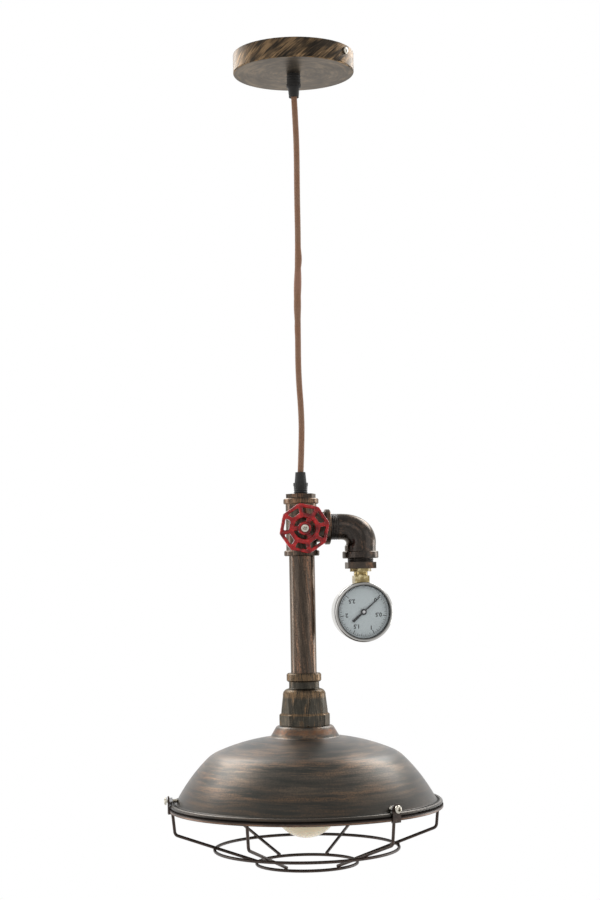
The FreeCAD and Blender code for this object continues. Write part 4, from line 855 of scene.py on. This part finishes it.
def clamp_screws():
    """Three screws of the guard's clamps, their tips thinner than their threads."""
    shank = [(0.9, CLAMP_SCREW_TIP)] + thread_profile(CLAMP_SCREW_TIP + 2.0, -0.5, 1.7)
    screw = pan_screw("clamp_screw", 4.0, 2.6, shank, 12.0, 0.55)
    seats = [(outward(angle), beside(angle, *CLAMP_SCREW_SEAT)) for angle in CLAMP_ANGLES]
    made = add_screws("clamp_cross_screws", screw, seats, "lamp")
    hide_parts("clamp_screws")


def wheel_screw():
    """Screw in the middle of the handwheel."""
    screw = pan_screw("wheel_screw", 4.2, 2.4, thread_profile(-14.0, -0.5, 1.75), 35.0, 0.36)
    seats = [(-Y_AXIS, (0, WHEEL_SCREW_Y * MM, SPINDLE_Z * MM))]
    made = add_screws("wheel_cross_screw", screw, seats, "handwheel_assembly")
    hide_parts("wheel_screw")


canopy_screws()
clamp_screws()
wheel_screw()


# Handwheel: the rounded, uneven skin of a painted casting

CASTING_GRID = 0.45
CASTING_UNEVEN = 0.3


def cast_wheel():
    """Handwheel with softened edges and a lumpy skin, made from the CAD solid's own mesh."""
    node = nodes["handwheel"]
    mesh = node.data.copy()
    mesh.transform(node.matrix_world)
    holder = in_scene("wheel_source", mesh)
    grid = holder.modifiers.new("grid", "REMESH")
    grid.mode, grid.voxel_size = "VOXEL", CASTING_GRID * MM
    soften = holder.modifiers.new("soften", "SMOOTH")
    soften.factor, soften.iterations = 0.5, 9
    cast = set_smooth(evaluated(holder), True)
    moves = []
    for vertex in cast.vertices:
        lump = noise.noise(vertex.co * 260.0) + 0.5 * noise.noise(vertex.co * 620.0)
        moves.append(vertex.co + vertex.normal * lump * CASTING_UNEVEN * MM)
    for vertex, place in zip(cast.vertices, moves):
        vertex.co = place
    made = add_object("cast_handwheel", cast, "handwheel_assembly", "red_enamel")
    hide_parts("handwheel")


cast_wheel()


# Threads on the necks of the fittings

PIPE_THREAD = (13.25, 13.75, 1.81)
STEM_THREAD = (7.05, 7.75, 1.34)
THREAD_WALL = 0.4
ROWS_PER_TURN = 8


def helical_thread(name, origin, direction, length, sizes, sides):
    """Ridged sleeve, its ridge winding round the axis as a real thread does and fading out at both ends.

    sizes are the radii of its root and crest, and its pitch.
    """
    root, crest, pitch = sizes
    u, v, w = axes_for(direction)
    shares = [side / sides for side in range(sides)]
    rows = max(2, round(length / pitch * ROWS_PER_TURN))
    levels = []
    for row in range(rows + 1):
        height = length * row / rows
        fade = min(1.0, row / 3.0, (rows - row) / 3.0)
        ridges = [(1.0 - abs(2.0 * ((height / pitch - share) % 1.0) - 1.0)) * fade for share in shares]
        levels.append((height, [root + (crest - root) * ridge for ridge in ridges]))
    bore = [root - THREAD_WALL] * sides
    rings = []
    for height, radii in levels + [(length, bore), (0.0, bore)]:
        middle = Vector(origin) * MM + w * height * MM
        angles = [2 * math.pi * share for share in shares]
        rings.append([middle + (u * math.cos(angle) + v * math.sin(angle)) * (radius * MM)
                      for angle, radius in zip(angles, radii)])
    return skin(name, rings, "joined")


def threads():
    """Threads that show between the tee, elbow, bushing and gauge stem."""
    for name, origin, direction, length, sizes, sides, slot, finish in (
            ("elbow_thread", (30.05, 0, TEE_Z), X_AXIS, 8.25, PIPE_THREAD, 64, "bronze_finish", "thread_bronze"),
            ("bushing_thread", (ELBOW_X, 0, -542.85), Z_AXIS, 3.9, PIPE_THREAD, 64, "bronze_finish", "thread_bronze"),
            ("stem_thread", (ELBOW_X, 0, -556.95), Z_AXIS, 4.1, STEM_THREAD, 48, "brass", "brass")):
        add_object(name, helical_thread(name, origin, direction, length, sizes, sides), "lamp", finish)


threads()


# Glands: ridges round each collar

def gland_ridges(name, body, heights, radius):
    """Low ridges round a gland's collar."""
    profile = [(radius - 0.5, -0.75), (radius + 0.22, -0.5), (radius + 0.36, 0.0), (radius + 0.22, 0.5),
               (radius - 0.5, 0.75), (radius - 0.5, -0.75)]
    parts = [lathe("ridge", profile, Vector((0, 0, height)) * MM) for height in heights]
    add_object(name, joined(name, parts), body, "black_plastic")


gland_ridges("canopy_gland_ridges", "ceiling_mount", (-29.3, -26.5, -23.7), 7.2)
gland_ridges("lamp_gland_ridges", "lamp_gland", (-464.0, -466.4, -468.8), 6.95)


# Gauge dial: scale and numbers, printed for a gauge that stands upright and hung here upside down

DIAL_FRONT = 8.0
PRINT_BASE, PRINT_HEIGHT = 0.005, 0.06
FIGURE_SIZE, FIGURE_WEIGHT = 5.8, 0.2
FIGURE_RADIUS, WIDE_FIGURE_RADIUS = 18.2, 16.6
SCALE_START, SCALE_SWEEP = 47.0, 266.0
SCALE_RADIUS, SCALE_WIDTH, TICK_END = 25.3, 0.18, 25.4
# Ticks of the scale, each (inner radius, width)
LONG_TICK, MIDDLE_TICK, SHORT_TICK = (21.2, 0.75), (22.9, 0.42), (23.7, 0.26)
TICKS_PER_NUMBER = 10
NUMBERS = ("0", "0.5", "1", "1.5", "2", "2.5")


def on_dial(across, up, out=0.0):
    """Point on the dial from millimetres to the right, up and out, as seen from its front."""
    return GAUGE_CENTRE + (GAUGE_RIGHT * across + Z_AXIS * up + GAUGE_NORMAL * (DIAL_FRONT + out)) * MM


def clock(radius, angle):
    """Right and up from the dial's middle, at an angle clockwise from the top."""
    return radius * math.sin(math.radians(angle)), radius * math.cos(math.radians(angle))


def printed_bar(inner, outer, angle, width):
    """Thin raised bar on a radius of the dial."""
    side = (math.cos(math.radians(angle)) * width / 2, -math.sin(math.radians(angle)) * width / 2)
    flat = []
    for radius, sign in ((inner, -1), (inner, 1), (outer, 1), (outer, -1)):
        x, y = clock(radius, angle)
        flat.append((x + sign * side[0], y + sign * side[1]))
    return skin("bar", [[on_dial(x, y, out) for x, y in flat] for out in (PRINT_BASE, PRINT_HEIGHT)], "capped", False)


def printed_arc(radius, width, start, sweep, steps=90):
    """Thin raised arc on the dial."""
    inner, outer = radius - width / 2, radius + width / 2
    section = ((inner, PRINT_BASE), (outer, PRINT_BASE), (outer, PRINT_HEIGHT), (inner, PRINT_HEIGHT))
    angles = [start + sweep * index / steps for index in range(steps + 1)]
    return skin("arc", [[on_dial(*clock(r, angle), out) for r, out in section] for angle in angles], "capped", False)


def printed_text(words, across, up):
    """Raised figures on the dial, upside down because the gauge hangs from its stem."""
    curve = bpy.data.curves.new("figure", "FONT")
    curve.body, curve.size, curve.offset = words, FIGURE_SIZE, FIGURE_WEIGHT
    curve.align_x, curve.align_y = "CENTER", "CENTER"
    curve.extrude, curve.resolution_u = PRINT_HEIGHT / 2, 3
    mesh = evaluated(in_scene("figure", curve))
    for vertex in mesh.vertices:
        x, y, z = vertex.co
        vertex.co = on_dial(across - x, up - y, PRINT_HEIGHT / 2 + PRINT_BASE + z)
    return mesh


def dial_print():
    """Scale of the dial: arc, ticks and plain numbers."""
    parts = [printed_arc(SCALE_RADIUS, SCALE_WIDTH, SCALE_START, SCALE_SWEEP)]
    steps = len(NUMBERS) - 1
    count = steps * TICKS_PER_NUMBER
    for index in range(count + 1):
        inner, width = LONG_TICK if index % TICKS_PER_NUMBER == 0 else SHORT_TICK if index % 2 else MIDDLE_TICK
        parts.append(printed_bar(inner, TICK_END, SCALE_START + SCALE_SWEEP * index / count, width))
    for index, words in enumerate(NUMBERS):
        radius = WIDE_FIGURE_RADIUS if len(words) > 1 else FIGURE_RADIUS
        parts.append(printed_text(words, *clock(radius, SCALE_START + SCALE_SWEEP * index / steps)))
    add_object("dial_print", joined("dial_print", parts), "lamp", "print_black")


def pointer_cap():
    """Bright cap on the pointer's hub."""
    profile = [(0, 0), (1.6, 0), (1.6, 0.3), (1.1, 0.55), (0, 0.62)]
    cap = shade_smoothly(lathe("pointer_cap", profile, on_dial(0, 0, 2.3), GAUGE_NORMAL, 32))
    add_object("pointer_cap", cap, "gauge_needle", "plain_steel")


dial_print()
pointer_cap()


# Guard: weld beads where wires meet, and the rounded rim ring

WELD_ROUGHNESS = 0.35
# Each weld of a leg: radius and height of its place, and its three radii
LEG_WELDS = ((139.4, -794.6, (1.3, 1.3, 1.6)), (95.5, -835.7, (1.7, 1.7, 1.1)), (52.2, -850.9, (1.7, 1.7, 1.1)))


def weld_bead(centre, radii, seed):
    """Rough ball with three radii in millimetres."""
    work = bmesh.new()
    bmesh.ops.create_icosphere(work, subdivisions=3, radius=1.0)
    chance = random.Random(seed)
    for vertex in work.verts:
        swell = 1.0 + WELD_ROUGHNESS * (chance.random() - 0.5)
        vertex.co = Vector(centre) + Vector(c * r * MM * swell for c, r in zip(vertex.co, radii))
    mesh = bpy.data.meshes.new("weld")
    work.to_mesh(mesh)
    work.free()
    return set_smooth(mesh, True)


def guard_welds():
    """Small beads at the joints of the guard's legs, hoops and rim ring."""
    places = [(beside(angle, radius, z), size) for angle in LEG_ANGLES for radius, z, size in LEG_WELDS]
    parts = [weld_bead(place, size, seed) for seed, (place, size) in enumerate(places, 1)]
    add_object("guard_welds", joined("guard_welds", parts), "lamp", "guard_bronze")


guard_welds()


def rim_ring():
    """Guard's rim ring with its outer edges rounded, closed against the shade's bead, in place of the plain band."""
    outer, inner, top, low, round_by = 142.07, 138.9, -792.54, -796.24, 0.7
    profile = [(inner, top), (inner, low)]
    for centre_z, start in ((low + round_by, -90.0), (top - round_by, 0.0)):
        for step in range(5):
            angle = math.radians(start + 22.5 * step)
            profile.append((outer - round_by + round_by * math.cos(angle), centre_z + round_by * math.sin(angle)))
    profile.append(profile[0])
    mesh = shade_smoothly(lathe("rim_ring", profile, sides=256))
    ring = add_object("rim_ring", mesh, "lamp", "ring_bronze")
    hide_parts("guard_rim_ring")


rim_ring()


# Lampholder ring: grips round its edge

def holder_ring_grips():
    """Ribs round the ring that clamps the shade to the lampholder."""
    radius, middle, count = 26.6, -716.1, 36
    parts = []
    for index in range(count):
        angle = math.radians(360.0 / count * index)
        centre = Vector((radius * math.cos(angle), radius * math.sin(angle), middle)) * MM
        parts.append(lathe("grip", [(0, -2.9), (0.7, -2.6), (0.8, 2.4), (0, 2.9)], centre, sides=8))
    add_object("holder_ring_grips", joined("holder_ring_grips", parts), "lamp", "black_plastic")


holder_ring_grips()


# Stage: a floor, soft lights and a white world

FLOOR_Z = -1.6
LIGHT_TARGET = Vector((0.0, 0.0, -0.55))
# Soft lights, each (name, place, width, height, power)
LIGHTS = (("lamp_left", (-1.9, -1.3, 0.0), 1.6, 1.8, 7.0),
          ("lamp_right", (1.9, -1.3, -0.1), 1.6, 1.8, 7.0),
          ("lamp_front", (-0.3, -2.2, 0.6), 1.6, 1.2, 5.0),
          ("lamp_side_left", (-1.9, 0.75, -0.8), 0.7, 1.0, 10.0),
          ("lamp_side_right", (1.9, 0.75, -0.8), 0.7, 1.0, 12.0),
          ("lamp_back_left", (-1.15, 1.12, 0.88), 1.8, 1.1, 38.0),
          ("lamp_back_right", (1.3, 1.02, 0.84), 1.4, 1.0, 30.0))


def white_world():
    """White world where it is seen, and a dimmer light with softer reflections overhead and in front."""
    world = bpy.data.worlds.new("world")
    bpy.context.scene.world = world
    world.use_nodes = True
    g = Graph(world.node_tree)
    background = g.nodes["Background"]
    g.feed(background.inputs["Color"], (1.0, 1.0, 1.0))
    direction = g.node("TexCoord", out="Generated")
    overhead = g.eased(g.node("SeparateXYZ", direction, out="Z"), 0.4, 0.85, 1.0, 0.7)
    in_front = g.eased(g.node("SeparateXYZ", direction, out="Y"), -0.9, -0.3, 0.74, 1.0)
    level = g.node("Mix", g.any_ray("Is Glossy Ray"), None, 0.55, g.times(overhead, in_front))
    seen = g.math("MAXIMUM", level, g.any_ray("Is Camera Ray", "Is Transmission Ray"))
    g.feed(background.inputs["Strength"], seen)


def pale_floor():
    """Wide pale floor below the lamp: it takes the lamp's shadow, and turns plain white further out."""
    half = 9.0
    corners = [(-half, -half, FLOOR_Z), (half, -half, FLOOR_Z), (half, half, FLOOR_Z), (-half, half, FLOOR_Z)]
    floor = in_scene("floor", mesh_from("floor", corners, [[0, 1, 2, 3]], False))
    f = Finish("floor", base_color=(0.88, 0.88, 0.88), roughness=0.9)
    away = f.vector("DISTANCE", f.place(), (0.0, 0.0, FLOOR_Z))
    share = f.times(f.eased(away, 1.0, 3.6, 0.86, 1.0),
                    f.any_ray("Is Camera Ray", "Is Glossy Ray", "Is Transmission Ray"))
    blend = f.node("MixShader", share, f.bsdf.outputs[0], f.node("Emission"))
    f.feed(f.nodes["Material Output"].inputs["Surface"], blend)
    floor.data.materials.append(FINISH["floor"])


def soft_light(name, place, width, height, power):
    """Rectangular soft light aimed at the middle of the lamp."""
    data = bpy.data.lights.new(name, "AREA")
    data.shape, data.size, data.size_y, data.energy = "RECTANGLE", width, height, power
    made = in_scene(name, data)
    made.location = place
    made.rotation_euler = (LIGHT_TARGET - Vector(place)).to_track_quat("-Z", "Y").to_euler()


def studio():
    """Floor, world and lights, and the plain view transform."""
    white_world()
    pale_floor()
    for light in LIGHTS:
        soft_light(*light)
    bpy.context.scene.view_settings.view_transform = "Standard"


studio()
